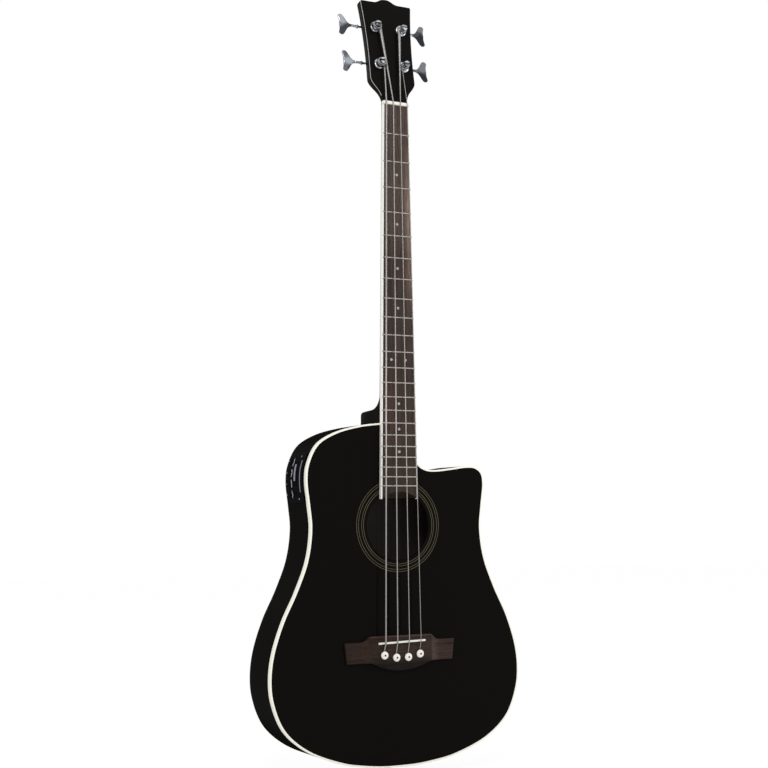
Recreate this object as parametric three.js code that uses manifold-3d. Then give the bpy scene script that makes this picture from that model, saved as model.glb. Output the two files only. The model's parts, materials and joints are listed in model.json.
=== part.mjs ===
// Acoustic bass guitar with a cutaway, four strings and a side preamp.
// Millimetres, +Z up toward the headstock, +X toward the treble side, -Y toward the viewer.
// The origin is on the centre line at the nut, in the plane of the soundboard's outer face.

import * as THREE from "three";
import { mergeVertices } from "three/addons/utils/BufferGeometryUtils.js";
import Module from "manifold-3d";

// Fit and cutting
const clearance = 0.3;
const cutOverrun = 40;

// Scale, fingerboard and frets
const scaleLength = 813;
const fretCount = 22;
const bodyJoinFret = 16;
const nutWidth = 43.6;
const fingerboardEndWidth = 61.8;
const fingerboardHeight = 6.5;
const fingerboardBindingWidth = 1.8;
const fretWidth = 2.3;
const fretHeight = 1.2;
const fretSink = 0.8;
const lastFretToEnd = 9;
const fingerboardEndRadius = 50;
const fingerboardEndSteps = 12;

// Fret crown outline: shares of half its width and of its height
const fretCrownShares = [[-1, 0], [-0.6, 0.75], [0, 1], [0.6, 0.75], [1, 0]];
const fretTangShare = 0.5;

// Body shell
const bodyLength = 510;
const lowerBoutWidth = 416.6;
const bodyDepthAtNeck = 74;
const bodyDepthAtTail = 81;
const backArch = 5;
const topThickness = 3.2;
const backThickness = 3;
const ribThickness = 2.4;
const bindingWidth = 2.6;
const bindingDepth = 7.5;
const soundholeRadius = 52;

// Outline of the bass side, from the tail to the neck: shares of half the width and of the length
const bassOutlineShares = [
  [0, 0], [0.13, 0.0012], [0.28, 0.0075], [0.446, 0.0202], [0.725, 0.0653], [0.898, 0.126],
  [0.984, 0.2075], [1, 0.27],
  [0.979, 0.339], [0.907, 0.427], [0.804, 0.513], [0.72, 0.602], [0.69, 0.6915], [0.706, 0.76],
  [0.725, 0.828], [0.7125, 0.875], [0.6385, 0.934], [0.499, 0.969], [0.295, 0.992],
];

// Outline of the treble side up to the waist follows the bass side; then the horn and the cutaway:
// shares of the width beyond the neck, and of the cutaway's depth below the neck's end of the body
const sharedOutlineCount = 14;
const cutawayOutlineShares = [
  [0.678, 1.2695], [0.66, 1.0543], [0.596, 0.9266], [0.5087, 0.9084], [0.349, 0.9594],
  [0.192, 1], [0.114, 0.985], [0.05, 0.9047], [0.012, 0.7807],
];
const cutawaySideShare = 0.6202;
const outlineSteps = 40;

// Inside of the body
const liningWidth = 6;
const liningDepth = 14;
const tailBlockLength = 26;
const tailBlockWidth = 64;
const braceWidth = 9;
const braceHeight = 14;
const braceEndHeight = 4;
const xBraceAngle = 47;
const xBraceShare = 0.36;
const upperBraceToHole = 18;
const neckBlockToBrace = 14.6;
const cutawayToBrace = 9.1;
const bridgePlateWidth = 138;
const bridgePlateLength = 46;
const bridgePlateThickness = 2.6;
const backBraceShares = [0.24, 0.6, 0.96];
const braceStations = 8;

// Bridge, saddle and pins
const bridgeHeight = 9;
const bridgeWingHeight = 5;
const bridgeWidth = 183;
const bridgeCentreWidth = 100;
const bridgeShoulderWidth = 124;
const bridgeLength = 52;
const bridgeTopToSaddle = 9.5;
const bridgeWingTopShare = 0.16;
const bridgeWingFootShare = 0.75;
const bridgeWingTaperShare = 0.065;
const saddleCompensation = 3.5;
const saddleSlant = 1.7;
const saddleLength = 78;
const saddleThickness = 3;
const saddleSlotDepth = 5;
const saddleCrown = 3.6;
const pickupThickness = 1.2;
const bridgeStringSpacing = 19.8;
const saddleToOuterPin = 18.5;
const innerPinStep = 4;
const pinHeadRadius = 5.6;
const pinHeadHeight = 4;
const pinShaftRadius = 2.9;
const pinTipRadius = 2.4;
const pinLength = 19;
const pinTipShare = 0.97;

// Pin head outline: shares of its radius and of its height
const pinHeadShares = [[0.9, 0], [1, 0.35], [0.75, 0.85], [0, 1]];

// Neck and heel
const neckDepthAtNut = 15.5;
const neckDepthAtHeel = 17.5;
const heelHeight = 20.5;
const heelThroat = 22;
const heelRound = 6;
const nutTaperLength = 21;
const headRootLength = 13;
const neckBackSteps = 12;

// Heel sections above the shelf: shares of the throat's length and of the heel's extra depth
const heelThroatShares = [[0.06, 0.42], [0.18, 0.26], [0.48, 0.12]];
const heelCornerShare = 0.3;

// How round each neck section is, from the heel's foot to the headstock: 1 is an ellipse, less is squarer
const heelRoundnessShare = 0.3;
const shelfRoundnessShare = 0.36;
const throatRoundnessShares = [0.5, 0.6, 0.7];
const neckRoundnessShare = 0.82;
const headRootRoundnessShare = 0.42;
const trussRodWidth = 6;
const trussRodDepth = 9;
const trussRodFromNut = 18;
const trussNutRadius = 3.4;
const trussNutLength = 12;
const trussNutSides = 6;

// Nut
const nutThickness = 5.5;
const nutHeight = 9;
const nutStringSpacing = 12;

// Headstock
const headTilt = 10;
const headThickness = 15;
const headFaceLift = 4;
const headLength = 174.5;
const headTopWidth = 88;
const headWaistWidth = 75;
const headShoulderWidth = 77;
const headShoulderHeight = 42.5;
const headCrest = 7;
const headCornerRadius = 3;

// Headstock outline: where its curves start, turn and end, as shares of their own lengths
const headFlareShares = [0.55, 0.62];
const headFlareTurnShare = 0.1;
const crestWidthShare = 0.52;
const crestTurnShare = 0.5;

// Tuning machines
const lowerPostShare = 0.388;
const upperPostShare = 0.745;
const lowerPostOffset = 20.9;
const upperPostOffset = 22.3;
const postRadius = 5;
const postWaistRadius = 4.2;
const postTop = 17;
const postWaistBottom = 4;
const postWaistTop = 13;
const postWaistSlope = 0.6;
const postChamfer = 0.9;
const postSlotBottom = 9.4;
const postSlotSlack = 0.35;
const bushingFlangeRadius = 8;
const bushingFlangeHeight = 2.4;
const bushingSleeveRadius = 6.4;
const bushingSleeveDepth = 8;

// Bushing flange outline: shares of its radius and of its height
const bushingFlangeShares = [[1, 0], [0.97, 0.6], [0.85, 1]];

// Tuner plates, gears and keys
const basePlateThickness = 1.6;
const basePlateWidth = 25;
const basePlateLength = 33;
const basePlateRound = 4;
const gearTeeth = 20;
const gearPitchRadius = 5.9;
const toothHeight = 1;
const toothPlay = 0.15;
const gearThickness = 4.2;
const gearToPlate = 1;
const gearScrewRadius = 3;
const gearScrewHeight = 1.6;
const wormPitchRadius = 2.6;
const wormTurns = 4;
const wormStepsPerTurn = 4;
const shaftRadius = 1.8;
const lugThickness = 3;
const lugHalfWidth = 3.6;
const lugSpread = 8.4;
const keyNeckReach = 31.5;
const keyTipReach = 53.5;
const keySpan = 35;
const keyThickness = 3.4;
const keyCollarRadius = 3.1;
const keyCollarThickness = 2.2;
const keyCollarReach = 19.8;
const keyStemRadius = 2.25;
const keyStemTaper = 0.9;

// Wheel tooth: shares of its height and of the tooth pitch. Worm thread: shares of its own pitch
const toothShares = [[0, -0.3], [1, -0.13], [1, 0.13], [0, 0.3]];
const threadRootShare = 0.45;
const threadFlankShare = 0.25;

// Key handle outline from its neck to the tip's middle: shares of its reach and of half its span
const keyCurveSteps = 4;
const keyWaistShare = 0.45;
const keyLobeShares = [[0.45, 0.75], [0.72, 1], [0.95, 1.05], [1, 0.8], [0.88, 0.35], [0.94, 0]];

// Strings, from the lowest to the highest
const stringNames = ["e", "a", "d", "g"];
const stringRadii = [1.27, 1.02, 0.8, 0.6];
const wholeWindings = [3, 2, 2, 3];
const windingGap = 0.6;
const slotTurnAngle = 20;
const tailPastCentre = 2.2;
const stringRiseAtNut = 1.9;
const stringSides = 6;
const windingSteps = 16;
const ballRadius = 2.8;
const ballLength = 5;
const bendReach = 4;
const saddleBend = 1.5;
const cornerCutShare = 0.36;

// Preamp on the bass-side rib
const preampShare = 0.838;
const preampLength = 72;
const preampWidth = 54;
const preampRound = 5;
const preampEdge = 9;
const preampPanelThickness = 2;
const preampCaseLength = 62;
const preampCaseWidth = 36;
const preampCaseDepth = 28;
const knobCount = 4;
const knobRadius = 4.6;
const knobHeight = 4.6;
const knobSpacing = 15.5;
const knobShaftRadius = 1.6;
const knobFromBackEdge = 9;

// Knob outline: shares of its radius and of its height
const knobShares = [[1, 0], [0.92, 0.85], [0.78, 1], [0, 1]];

// Preamp buttons
const buttonRadius = 2.3;
const buttonHeight = 1.1;
const buttonSink = 1.1;
const buttonFromFrontEdge = 24;
const buttonSpacing = 9;
const buttonDrop = 26;

// End pin with the output socket, and the battery
const endPinFaceRadius = 8.5;
const endPinWaistRadius = 5.6;
const endPinReach = 14;
const endPinFlange = 3;
const endPinCollar = 2.1;
const endPinFlare = 2.1;
const endPinBarrelRadius = 6.2;
const endPinBarrelLength = 33;
const socketRadius = 3.3;
const socketDepth = 30;
const batteryLength = 48.5;
const batteryWidth = 26.5;
const batteryThickness = 17.5;
const batteryRound = 2;

// Facet counts
const roundSides = 14;
const smallSides = 10;
const holeSides = 32;

const wasm = await Module();
wasm.setup();

const bass = new THREE.Group();

const finishes = {
  lacquer: [0x0b0b0c, 0.12, 0],
  spruce: [0xd9b98a, 0.6, 0],
  mahogany: [0x8a5a3c, 0.6, 0],
  rosewood: [0x4a3328, 0.55, 0],
  ivory: [0xece4cf, 0.35, 0],
  steel: [0xb9bcc0, 0.3, 1],
  chrome: [0xd8dade, 0.08, 1],
  plastic: [0x161618, 0.45, 0],
  brass: [0xb08d4f, 0.3, 1],
};

// A closed solid from a geometry whose shared vertices are merged
function solid(geometry) {
  geometry.deleteAttribute("normal");
  geometry.deleteAttribute("uv");
  const merged = mergeVertices(geometry);
  const vertProperties = new Float32Array(merged.attributes.position.array);
  const triVerts = new Uint32Array(merged.index.array);
  return new wasm.Manifold(new wasm.Mesh({ numProp: 3, vertProperties, triVerts }));
}

// The solid's surface as a geometry
function surface(body) {
  const mesh = body.getMesh();
  const geometry = new THREE.BufferGeometry();
  const position = new Float32Array(mesh.vertProperties);
  geometry.setAttribute("position", new THREE.BufferAttribute(position, 3));
  geometry.setIndex(new THREE.BufferAttribute(new Uint32Array(mesh.triVerts), 1));
  geometry.computeVertexNormals();
  return geometry;
}

function add(name, shape, finish) {
  const geometry = surface(shape.isBufferGeometry ? solid(shape) : shape);
  const [color, roughness, metalness] = finishes[finish];
  const mesh = new THREE.Mesh(geometry, new THREE.MeshStandardMaterial({ color, roughness, metalness }));
  mesh.name = name;
  bass.add(mesh);
}

// An outline in X and Z, carried along Y from one depth to another
function slab(points, fromY, toY, holes = []) {
  const shape = new THREE.Shape(points);
  shape.holes = holes.map((hole) => new THREE.Path(hole));
  const geometry = new THREE.ExtrudeGeometry(shape, { depth: toY - fromY, bevelEnabled: false });
  geometry.rotateX(Math.PI / 2);
  geometry.translate(0, toY, 0);
  return geometry;
}

function rectangle(left, bottom, right, top) {
  const corners = [[left, bottom], [right, bottom], [right, top], [left, top]];
  return corners.map(([x, y]) => new THREE.Vector2(x, y));
}

function block(left, bottom, right, top, fromY, toY) {
  return solid(slab(rectangle(left, bottom, right, top), fromY, toY));
}

function circle(centreX, centreZ, radius, sides) {
  return Array.from({ length: sides }, (_, i) => {
    const turn = (2 * Math.PI * i) / sides;
    return new THREE.Vector2(centreX + radius * Math.cos(turn), centreZ + radius * Math.sin(turn));
  });
}

// A rectangle with round corners about its own centre
function roundedRectangle(width, height, radius, steps = 4) {
  const points = [];
  for (let corner = 0; corner < 4; corner += 1) {
    const sideX = corner === 0 || corner === 3 ? 1 : -1;
    const sideY = corner < 2 ? 1 : -1;
    for (let i = 0; i <= steps; i += 1) {
      const turn = (Math.PI / 2) * (corner + i / steps);
      points.push(new THREE.Vector2(
        sideX * (width / 2 - radius) + radius * Math.cos(turn),
        sideY * (height / 2 - radius) + radius * Math.sin(turn),
      ));
    }
  }
  return points;
}

// A turned solid about Y from a list of radius and height pairs
function turned(profile, sides) {
  const points = profile.map(([radius, height]) => new THREE.Vector2(radius, height));
  const geometry = new THREE.LatheGeometry(points, sides);
  geometry.deleteAttribute("normal");
  geometry.deleteAttribute("uv");
  return facingOut(mergeVertices(geometry));
}

// The same closed geometry with its faces turned out, whichever way its rings or profile ran
function facingOut(geometry) {
  const position = geometry.attributes.position;
  const index = geometry.index.array;
  let volume = 0;
  const corners = [new THREE.Vector3(), new THREE.Vector3(), new THREE.Vector3()];
  for (let i = 0; i < index.length; i += 3) {
    corners.forEach((corner, k) => corner.fromBufferAttribute(position, index[i + k]));
    volume += corners[0].dot(corners[1].cross(corners[2]));
  }
  if (volume < 0) {
    geometry.setIndex(Array.from(index).reverse());
  }
  return geometry;
}

// A skin over rings of equal count, closed by a flat cap at both ends
function loft(rings) {
  const count = rings[0].length;
  const positions = rings.flat().flatMap((point) => [point.x, point.y, point.z]);
  const index = [];
  for (let ring = 0; ring + 1 < rings.length; ring += 1) {
    for (let i = 0; i < count; i += 1) {
      const here = ring * count + i;
      const next = ring * count + ((i + 1) % count);
      index.push(here, next, next + count, here, next + count, here + count);
    }
  }
  index.push(...capOf(rings[0], 0, true), ...capOf(rings.at(-1), (rings.length - 1) * count, false));
  const geometry = new THREE.BufferGeometry();
  geometry.setAttribute("position", new THREE.BufferAttribute(new Float32Array(positions), 3));
  geometry.setIndex(index);
  return facingOut(geometry);
}

// Triangles over a flat ring, seen in its own plane
function capOf(ring, offset, flipped) {
  const normal = new THREE.Vector3();
  ring.forEach((point, i) => {
    const next = ring[(i + 1) % ring.length];
    normal.add(new THREE.Vector3().crossVectors(point, next));
  });
  normal.normalize();
  const turn = new THREE.Quaternion().setFromUnitVectors(normal, new THREE.Vector3(0, 0, 1));
  const flat = ring.map((point) => {
    const seen = point.clone().applyQuaternion(turn);
    return new THREE.Vector2(seen.x, seen.y);
  });
  const faces = THREE.ShapeUtils.triangulateShape(flat, []);
  return faces.flatMap((face) => (flipped ? face.reverse() : face).map((corner) => corner + offset));
}

// A round tube through points, with a radius at each point
function tube(points, radii, sides) {
  const tangents = points.map((point, i) => {
    const before = points[Math.max(i - 1, 0)];
    const after = points[Math.min(i + 1, points.length - 1)];
    const inward = i > 0 ? point.clone().sub(before).normalize() : after.clone().sub(point).normalize();
    const outward = i + 1 < points.length ? after.clone().sub(point).normalize() : inward;
    return inward.clone().add(outward).normalize();
  });
  const first = tangents[0];
  const side = Math.abs(first.x) < 0.9 ? new THREE.Vector3(1, 0, 0) : new THREE.Vector3(0, 1, 0);
  let across = new THREE.Vector3().crossVectors(first, side).normalize();
  const rings = points.map((point, i) => {
    if (i > 0) {
      const turn = new THREE.Quaternion().setFromUnitVectors(tangents[i - 1], tangents[i]);
      across = across.clone().applyQuaternion(turn);
    }
    const up = new THREE.Vector3().crossVectors(tangents[i], across).normalize();
    return Array.from({ length: sides }, (_, k) => {
      const angle = (2 * Math.PI * k) / sides;
      return point.clone()
        .addScaledVector(across, radii[i] * Math.cos(angle))
        .addScaledVector(up, radii[i] * Math.sin(angle));
    });
  });
  return loft(rings);
}

// Positions worked out from the driving sizes
const fretDistance = (fret) => scaleLength * (1 - 2 ** (-fret / 12));
const bodyTopZ = -fretDistance(bodyJoinFret);
const bodyBottomZ = bodyTopZ - bodyLength;
const soundholeZ = -fretDistance(fretCount) - lastFretToEnd - fingerboardEndRadius;
const fingerboardEndZ = soundholeZ + fingerboardEndRadius;
const saddleZ = -scaleLength - saddleCompensation;
const upperBraceZ = soundholeZ + soundholeRadius + upperBraceToHole;
const neckBlockFoot = upperBraceZ + braceWidth / 2 + neckBlockToBrace;
const cutawayDepth = bodyTopZ - upperBraceZ - braceWidth / 2 - cutawayToBrace;
const tailBlockTop = bodyBottomZ + ribThickness + tailBlockLength;
const halfWidth = lowerBoutWidth / 2;
const boardHalfWidth = (z) => {
  const share = z / fingerboardEndZ;
  return nutWidth / 2 + (share * (fingerboardEndWidth - nutWidth)) / 2;
};
const neckHalfAtBody = boardHalfWidth(bodyTopZ);

// The back's outer face: deeper toward the tail and arched across
function backY(x, z) {
  const share = (bodyTopZ - z) / bodyLength;
  const depth = bodyDepthAtNeck + share * (bodyDepthAtTail - bodyDepthAtNeck);
  return depth + backArch * (1 - (x / halfWidth) ** 2);
}

// Stations along one side of the body, from the tail's centre line to the neck's
function sideStations(isBass) {
  const shared = isBass ? bassOutlineShares : bassOutlineShares.slice(0, sharedOutlineCount);
  const points = shared.map(([across, along]) => [across * halfWidth, bodyBottomZ + along * bodyLength]);
  if (isBass) {
    points.push([neckHalfAtBody, bodyTopZ]);
  } else {
    const beyond = halfWidth - neckHalfAtBody;
    cutawayOutlineShares.forEach(([across, along]) => {
      points.push([neckHalfAtBody + across * beyond, bodyTopZ - along * cutawayDepth]);
    });
    points.push([neckHalfAtBody, bodyTopZ - cutawaySideShare * cutawayDepth]);
  }
  const knots = points.map(([x, z]) => new THREE.Vector3(x, z, 0));
  const curve = new THREE.CatmullRomCurve3(knots, false, "centripetal");
  const stations = curve.getSpacedPoints(outlineSteps).map((point) => new THREE.Vector2(point.x, point.y));
  if (!isBass) {
    stations.push(new THREE.Vector2(neckHalfAtBody, bodyTopZ));
  }
  const sign = isBass ? -1 : 1;
  return stations.map((point) => new THREE.Vector2(sign * point.x, point.y));
}

const bassStations = sideStations(true);
const trebleStations = sideStations(false);
const outline = [...trebleStations, ...bassStations.slice(1).reverse()];

// The closed outline moved inward by an inset, or outward by a negative one
function inset(points, distance) {
  return points.map((point, i) => {
    const before = points[(i + points.length - 1) % points.length];
    const after = points[(i + 1) % points.length];
    const one = new THREE.Vector2(before.y - point.y, point.x - before.x).normalize();
    const two = new THREE.Vector2(point.y - after.y, after.x - point.x).normalize();
    const along = one.clone().add(two).multiplyScalar(1 / (1 + one.dot(two)));
    return point.clone().addScaledVector(along, distance);
  });
}

// The part of a closed outline that belongs to one side, ending on the centre line
function sideOf(points, isBass) {
  const count = trebleStations.length;
  if (!isBass) {
    const side = points.slice(0, count);
    side.push(new THREE.Vector2(clearance / 2, side.at(-1).y));
    side[0] = new THREE.Vector2(clearance / 2, side[0].y);
    return side;
  }
  const side = [points[0], ...points.slice(count).reverse()];
  side.push(new THREE.Vector2(-clearance / 2, side.at(-1).y));
  side[0] = new THREE.Vector2(-clearance / 2, side[0].y);
  return side;
}

// A wall between two offsets of the outline, from a front depth to a back depth
function wall(outer, inner, isBass, frontY, backAt, keep = () => true) {
  const outerSide = sideOf(outer, isBass);
  const innerSide = sideOf(inner, isBass);
  const rings = [];
  outerSide.forEach((out, i) => {
    const into = innerSide[i];
    if (!keep(out) || !keep(into)) {
      return;
    }
    const ring = [
      new THREE.Vector3(out.x, frontY(out), out.y),
      new THREE.Vector3(out.x, backAt(out), out.y),
      new THREE.Vector3(into.x, backAt(into), into.y),
      new THREE.Vector3(into.x, frontY(into), into.y),
    ];
    rings.push(ring);
  });
  return loft(rings);
}

// A solid filling the body from a flat front to a surface that follows the back
function dished(points, frontAt, backAt, ringShares) {
  const centre = new THREE.Vector2(0, soundholeZ - soundholeRadius);
  const count = points.length;
  const positions = [];
  const index = [];
  const place = (yAt) => {
    ringShares.forEach((share) => {
      points.forEach((point) => {
        const spot = centre.clone().lerp(point, share);
        positions.push(spot.x, yAt(spot), spot.y);
      });
    });
    positions.push(centre.x, yAt(centre), centre.y);
  };
  place(frontAt);
  place(backAt);
  const sheet = ringShares.length * count + 1;
  for (let i = 0; i < count; i += 1) {
    const next = (i + 1) % count;
    for (let ring = 0; ring + 1 < ringShares.length; ring += 1) {
      const [a, b] = [ring * count + i, ring * count + next];
      const [c, d] = [b + count, a + count];
      index.push(a, b, c, a, c, d);
      index.push(sheet + a, sheet + c, sheet + b, sheet + a, sheet + d, sheet + c);
    }
    const last = (ringShares.length - 1) * count;
    index.push(last + i, last + next, sheet - 1);
    index.push(sheet + last + i, 2 * sheet - 1, sheet + last + next);
    index.push(i, sheet + i, sheet + next, i, sheet + next, next);
  }
  const geometry = new THREE.BufferGeometry();
  geometry.setAttribute("position", new THREE.BufferAttribute(new Float32Array(positions), 3));
  geometry.setIndex(index);
  return facingOut(geometry);
}

const backRingShares = [1, 0.6];
const backInner = (point) => backY(point.x, point.y) - backThickness;
const topInner = topThickness + clearance;
const liningInset = bindingWidth + clearance;
const liningInner = liningInset + liningWidth;

// Everything inside the ribs, clear of the top and the back, pulled in by a distance
function cavity(distance) {
  const back = (point) => backInner(point) - clearance;
  return solid(dished(inset(outline, distance), () => topInner, back, backRingShares));
}

// Top, back, ribs, edge binding and linings
function buildBody() {
  const topOutline = inset(outline, bindingWidth + clearance);
  const soundhole = circle(0, soundholeZ, soundholeRadius, holeSides);
  let top = solid(slab(topOutline, 0, topThickness, [soundhole]));
  pinPlaces.forEach((place) => {
    top = top.subtract(pinHole(place));
  });
  add("soundboard", top, "lacquer");
  const backOuter = (point) => backY(point.x, point.y);
  add("back_plate", dished(outline, backInner, backOuter, backRingShares), "lacquer");
  add("front_binding", slab(outline, 0, bindingDepth, [inset(outline, bindingWidth)]), "ivory");

  const ribFront = () => bindingDepth + clearance;
  const ribBack = (point) => backInner(point) - clearance;
  const ribInner = inset(outline, ribThickness);
  const trebleRib = solid(wall(outline, ribInner, false, ribFront, ribBack)).subtract(endPinHole());
  const bassRib = solid(wall(outline, ribInner, true, ribFront, ribBack)).subtract(endPinHole());
  add("treble_side_rib", trebleRib.subtract(trussPassage()), "lacquer");
  add("bass_side_rib", bassRib.subtract(preampCutout(clearance)).subtract(trussPassage()), "lacquer");

  const outer = inset(outline, liningInset);
  const inner = inset(outline, liningInner);
  const tailHalf = tailBlockWidth / 2 + clearance;
  const clearOfBlocks = (point) => {
    const atTail = Math.abs(point.x) < tailHalf && point.y < bodyBottomZ + bodyLength / 2;
    const atNeck = point.x > -neckHalfAtBody - clearance && point.x < neckHalfAtBody + liningWidth
      && point.y > neckBlockFoot - clearance;
    return !atTail && !atNeck;
  };
  const frontEnd = () => topInner + liningDepth;
  const backStart = (point) => backInner(point) - clearance - liningDepth;
  for (const isBass of [true, false]) {
    const side = isBass ? "bass" : "treble";
    const front = wall(outer, inner, isBass, () => topInner, frontEnd, clearOfBlocks);
    const back = wall(outer, inner, isBass, backStart, ribBack, clearOfBlocks);
    add(`front_lining_${side}`, front, "mahogany");
    add(`back_lining_${side}`, back, "mahogany");
  }
}

// The hole for the end pin's barrel, through the rib and the tail block
function endPinHole() {
  const radius = endPinBarrelRadius + clearance;
  const reach = endPinBarrelLength + tailBlockLength + cutOverrun;
  const geometry = new THREE.CylinderGeometry(radius, radius, reach * 2, roundSides);
  geometry.rotateX(Math.PI / 2);
  geometry.translate(0, jackY, bodyBottomZ);
  return solid(geometry);
}

const jackY = (bodyDepthAtTail + backArch) / 2;

// The way for the wrench from the soundhole to the end of the truss rod
function trussPassage() {
  const reach = bodyTopZ - neckBlockFoot + heelHeight;
  const radius = trussNutRadius + clearance;
  const geometry = new THREE.CylinderGeometry(radius, radius, reach * 2, smallSides);
  geometry.rotateX(Math.PI / 2);
  geometry.translate(0, trussAxisY, neckBlockFoot);
  return solid(geometry);
}

const trussAxisY = topInner + trussNutRadius + 2 * clearance;

function buildBlocks() {
  const inside = cavity(ribThickness + clearance);
  const neckZone = block(-neckHalfAtBody, neckBlockFoot, neckHalfAtBody, bodyTopZ, 0, bodyDepthAtTail * 2);
  add("neck_block", inside.intersect(neckZone).subtract(trussPassage()), "mahogany");
  const tailHalf = tailBlockWidth / 2;
  const tailZone = block(-tailHalf, bodyBottomZ, tailHalf, tailBlockTop, 0, bodyDepthAtTail * 2);
  add("tail_block", inside.intersect(tailZone).subtract(endPinHole()), "mahogany");
}

// A brace bar along X about the origin, tallest at its middle, standing on the top's inner face
function braceBar(halfLength) {
  const rings = Array.from({ length: braceStations + 1 }, (_, i) => {
    const share = (2 * i) / braceStations - 1;
    const height = braceEndHeight + (braceHeight - braceEndHeight) * (1 - share * share);
    const x = share * halfLength;
    const [low, high] = [topInner, topInner + height];
    const [below, above] = [-braceWidth / 2, braceWidth / 2];
    return [
      new THREE.Vector3(x, low, below), new THREE.Vector3(x, high, below),
      new THREE.Vector3(x, high, above), new THREE.Vector3(x, low, above),
    ];
  });
  return loft(rings);
}

function buildBraces() {
  const inside = cavity(liningInner + clearance);
  const crossZ = soundholeZ - soundholeRadius + xBraceShare * (saddleZ - soundholeZ + soundholeRadius);
  const bars = [-1, 1].map((sign) => {
    const bar = braceBar(bodyLength / 2);
    bar.rotateY(sign * THREE.MathUtils.degToRad(90 - xBraceAngle));
    bar.translate(0, 0, crossZ);
    return solid(bar);
  });
  add("x_brace", bars[0].add(bars[1]).intersect(inside), "spruce");

  const upper = braceBar(halfWidth);
  upper.translate(0, 0, upperBraceZ);
  add("upper_brace", solid(upper).intersect(inside), "spruce");

  const plateZ = saddleZ - saddleToOuterPin;
  const plateHalf = bridgePlateLength / 2;
  let plate = block(-bridgePlateWidth / 2, plateZ - plateHalf, bridgePlateWidth / 2, plateZ + plateHalf,
    topInner, topInner + bridgePlateThickness);
  pinPlaces.forEach((place) => {
    plate = plate.subtract(pinHole(place));
  });
  add("bridge_plate", plate.intersect(betweenBraces(crossZ, plateZ - plateHalf)), "mahogany");

  backBraceShares.forEach((share, i) => {
    const z = tailBlockTop + share * (batteryTopZ - batteryWidth - tailBlockTop);
    add(`back_brace_${i + 1}`, backBrace(z).intersect(inside), "spruce");
  });
}

// The room between the crossed bars' lower legs, down to a foot
function betweenBraces(crossZ, footZ) {
  const angle = THREE.MathUtils.degToRad(xBraceAngle);
  const half = braceWidth / 2 + clearance;
  const apexZ = crossZ - half / Math.sin(angle);
  const spread = (apexZ - footZ) * Math.tan(angle);
  const corners = [[-spread, footZ], [spread, footZ], [0, apexZ]];
  return solid(slab(corners.map(([x, z]) => new THREE.Vector2(x, z)), 0, braceHeight * 2));
}

// A bar across the back, seated on its arch and tallest at its middle
function backBrace(z) {
  const rings = Array.from({ length: braceStations + 1 }, (_, i) => {
    const share = (2 * i) / braceStations - 1;
    const height = braceEndHeight + (braceHeight - braceEndHeight) * (1 - share * share);
    const x = share * halfWidth;
    return [[-1, 0], [-1, 1], [1, 1], [1, 0]].map(([end, seat]) => {
      const endZ = z + (end * braceWidth) / 2;
      const seatY = backInner(new THREE.Vector2(x, endZ)) - clearance;
      return new THREE.Vector3(x, seat ? seatY : seatY - height, endZ);
    });
  });
  return solid(loft(rings));
}

// Where each string crosses the saddle and enters the bridge
const saddleAngle = THREE.MathUtils.degToRad(saddleSlant);
const stringX = (i, spacing) => (i - (stringNames.length - 1) / 2) * spacing;
const pinPlaces = stringNames.map((name, i) => {
  const isOuter = i === 0 || i === stringNames.length - 1;
  const x = stringX(i, bridgeStringSpacing);
  const z = saddleZ - saddleToOuterPin - (isOuter ? 0 : innerPinStep);
  return { name, x, z, radius: stringRadii[i], index: i };
});

// The string's way in the bridge: up beside the pin, then forward to the saddle's crown
function anchorRoute(place) {
  const beside = place.z + pinShaftRadius + clearance + place.radius;
  const ballZ = place.z + pinTipRadius + clearance + ballRadius;
  const ballTop = topInner + bridgePlateThickness + clearance;
  const corner = new THREE.Vector3(place.x, -bridgeHeight / 2, beside);
  return [
    new THREE.Vector3(place.x, ballTop + ballLength, ballZ),
    new THREE.Vector3(place.x, ballTop, ballZ),
    new THREE.Vector3(place.x, ballTop - clearance, ballZ),
    new THREE.Vector3(place.x, 0, beside),
    ...bend(new THREE.Vector3(place.x, 0, beside), corner, saddlePoint(place), bendReach),
  ];
}

// The corner of the string's path over the saddle, lifted so that its rounding clears the crown
function saddlePoint(place) {
  const y = -bridgeHeight - saddleCrown - clearance - place.radius - saddleBend * cornerCutShare;
  return new THREE.Vector3(place.x, y, saddleZ + place.x * Math.tan(saddleAngle));
}

// Points that round off a corner, starting and ending at equal distances from it
function bend(before, corner, after, distance, steps = 4) {
  const run = Math.min(distance, before.distanceTo(corner));
  const start = corner.clone().add(before.clone().sub(corner).setLength(run));
  const end = corner.clone().add(after.clone().sub(corner).setLength(distance));
  const curve = new THREE.QuadraticBezierCurve3(start, corner, end);
  return curve.getPoints(steps);
}

// The hole for a pin and its string, through bridge, top and plate
function pinHole(place) {
  const length = bridgeHeight + topThickness + bridgePlateThickness + cutOverrun;
  const bore = pinShaftRadius + clearance;
  const geometry = new THREE.CylinderGeometry(bore, bore, length, smallSides);
  geometry.translate(place.x, 0, place.z);
  const route = anchorRoute(place).slice(2);
  const start = route[0].clone().setY(length / 2);
  const points = [start, ...route, saddlePoint(place)];
  const radius = place.radius + clearance;
  return solid(geometry).add(solid(tube(points, points.map(() => radius), stringSides)));
}

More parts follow.
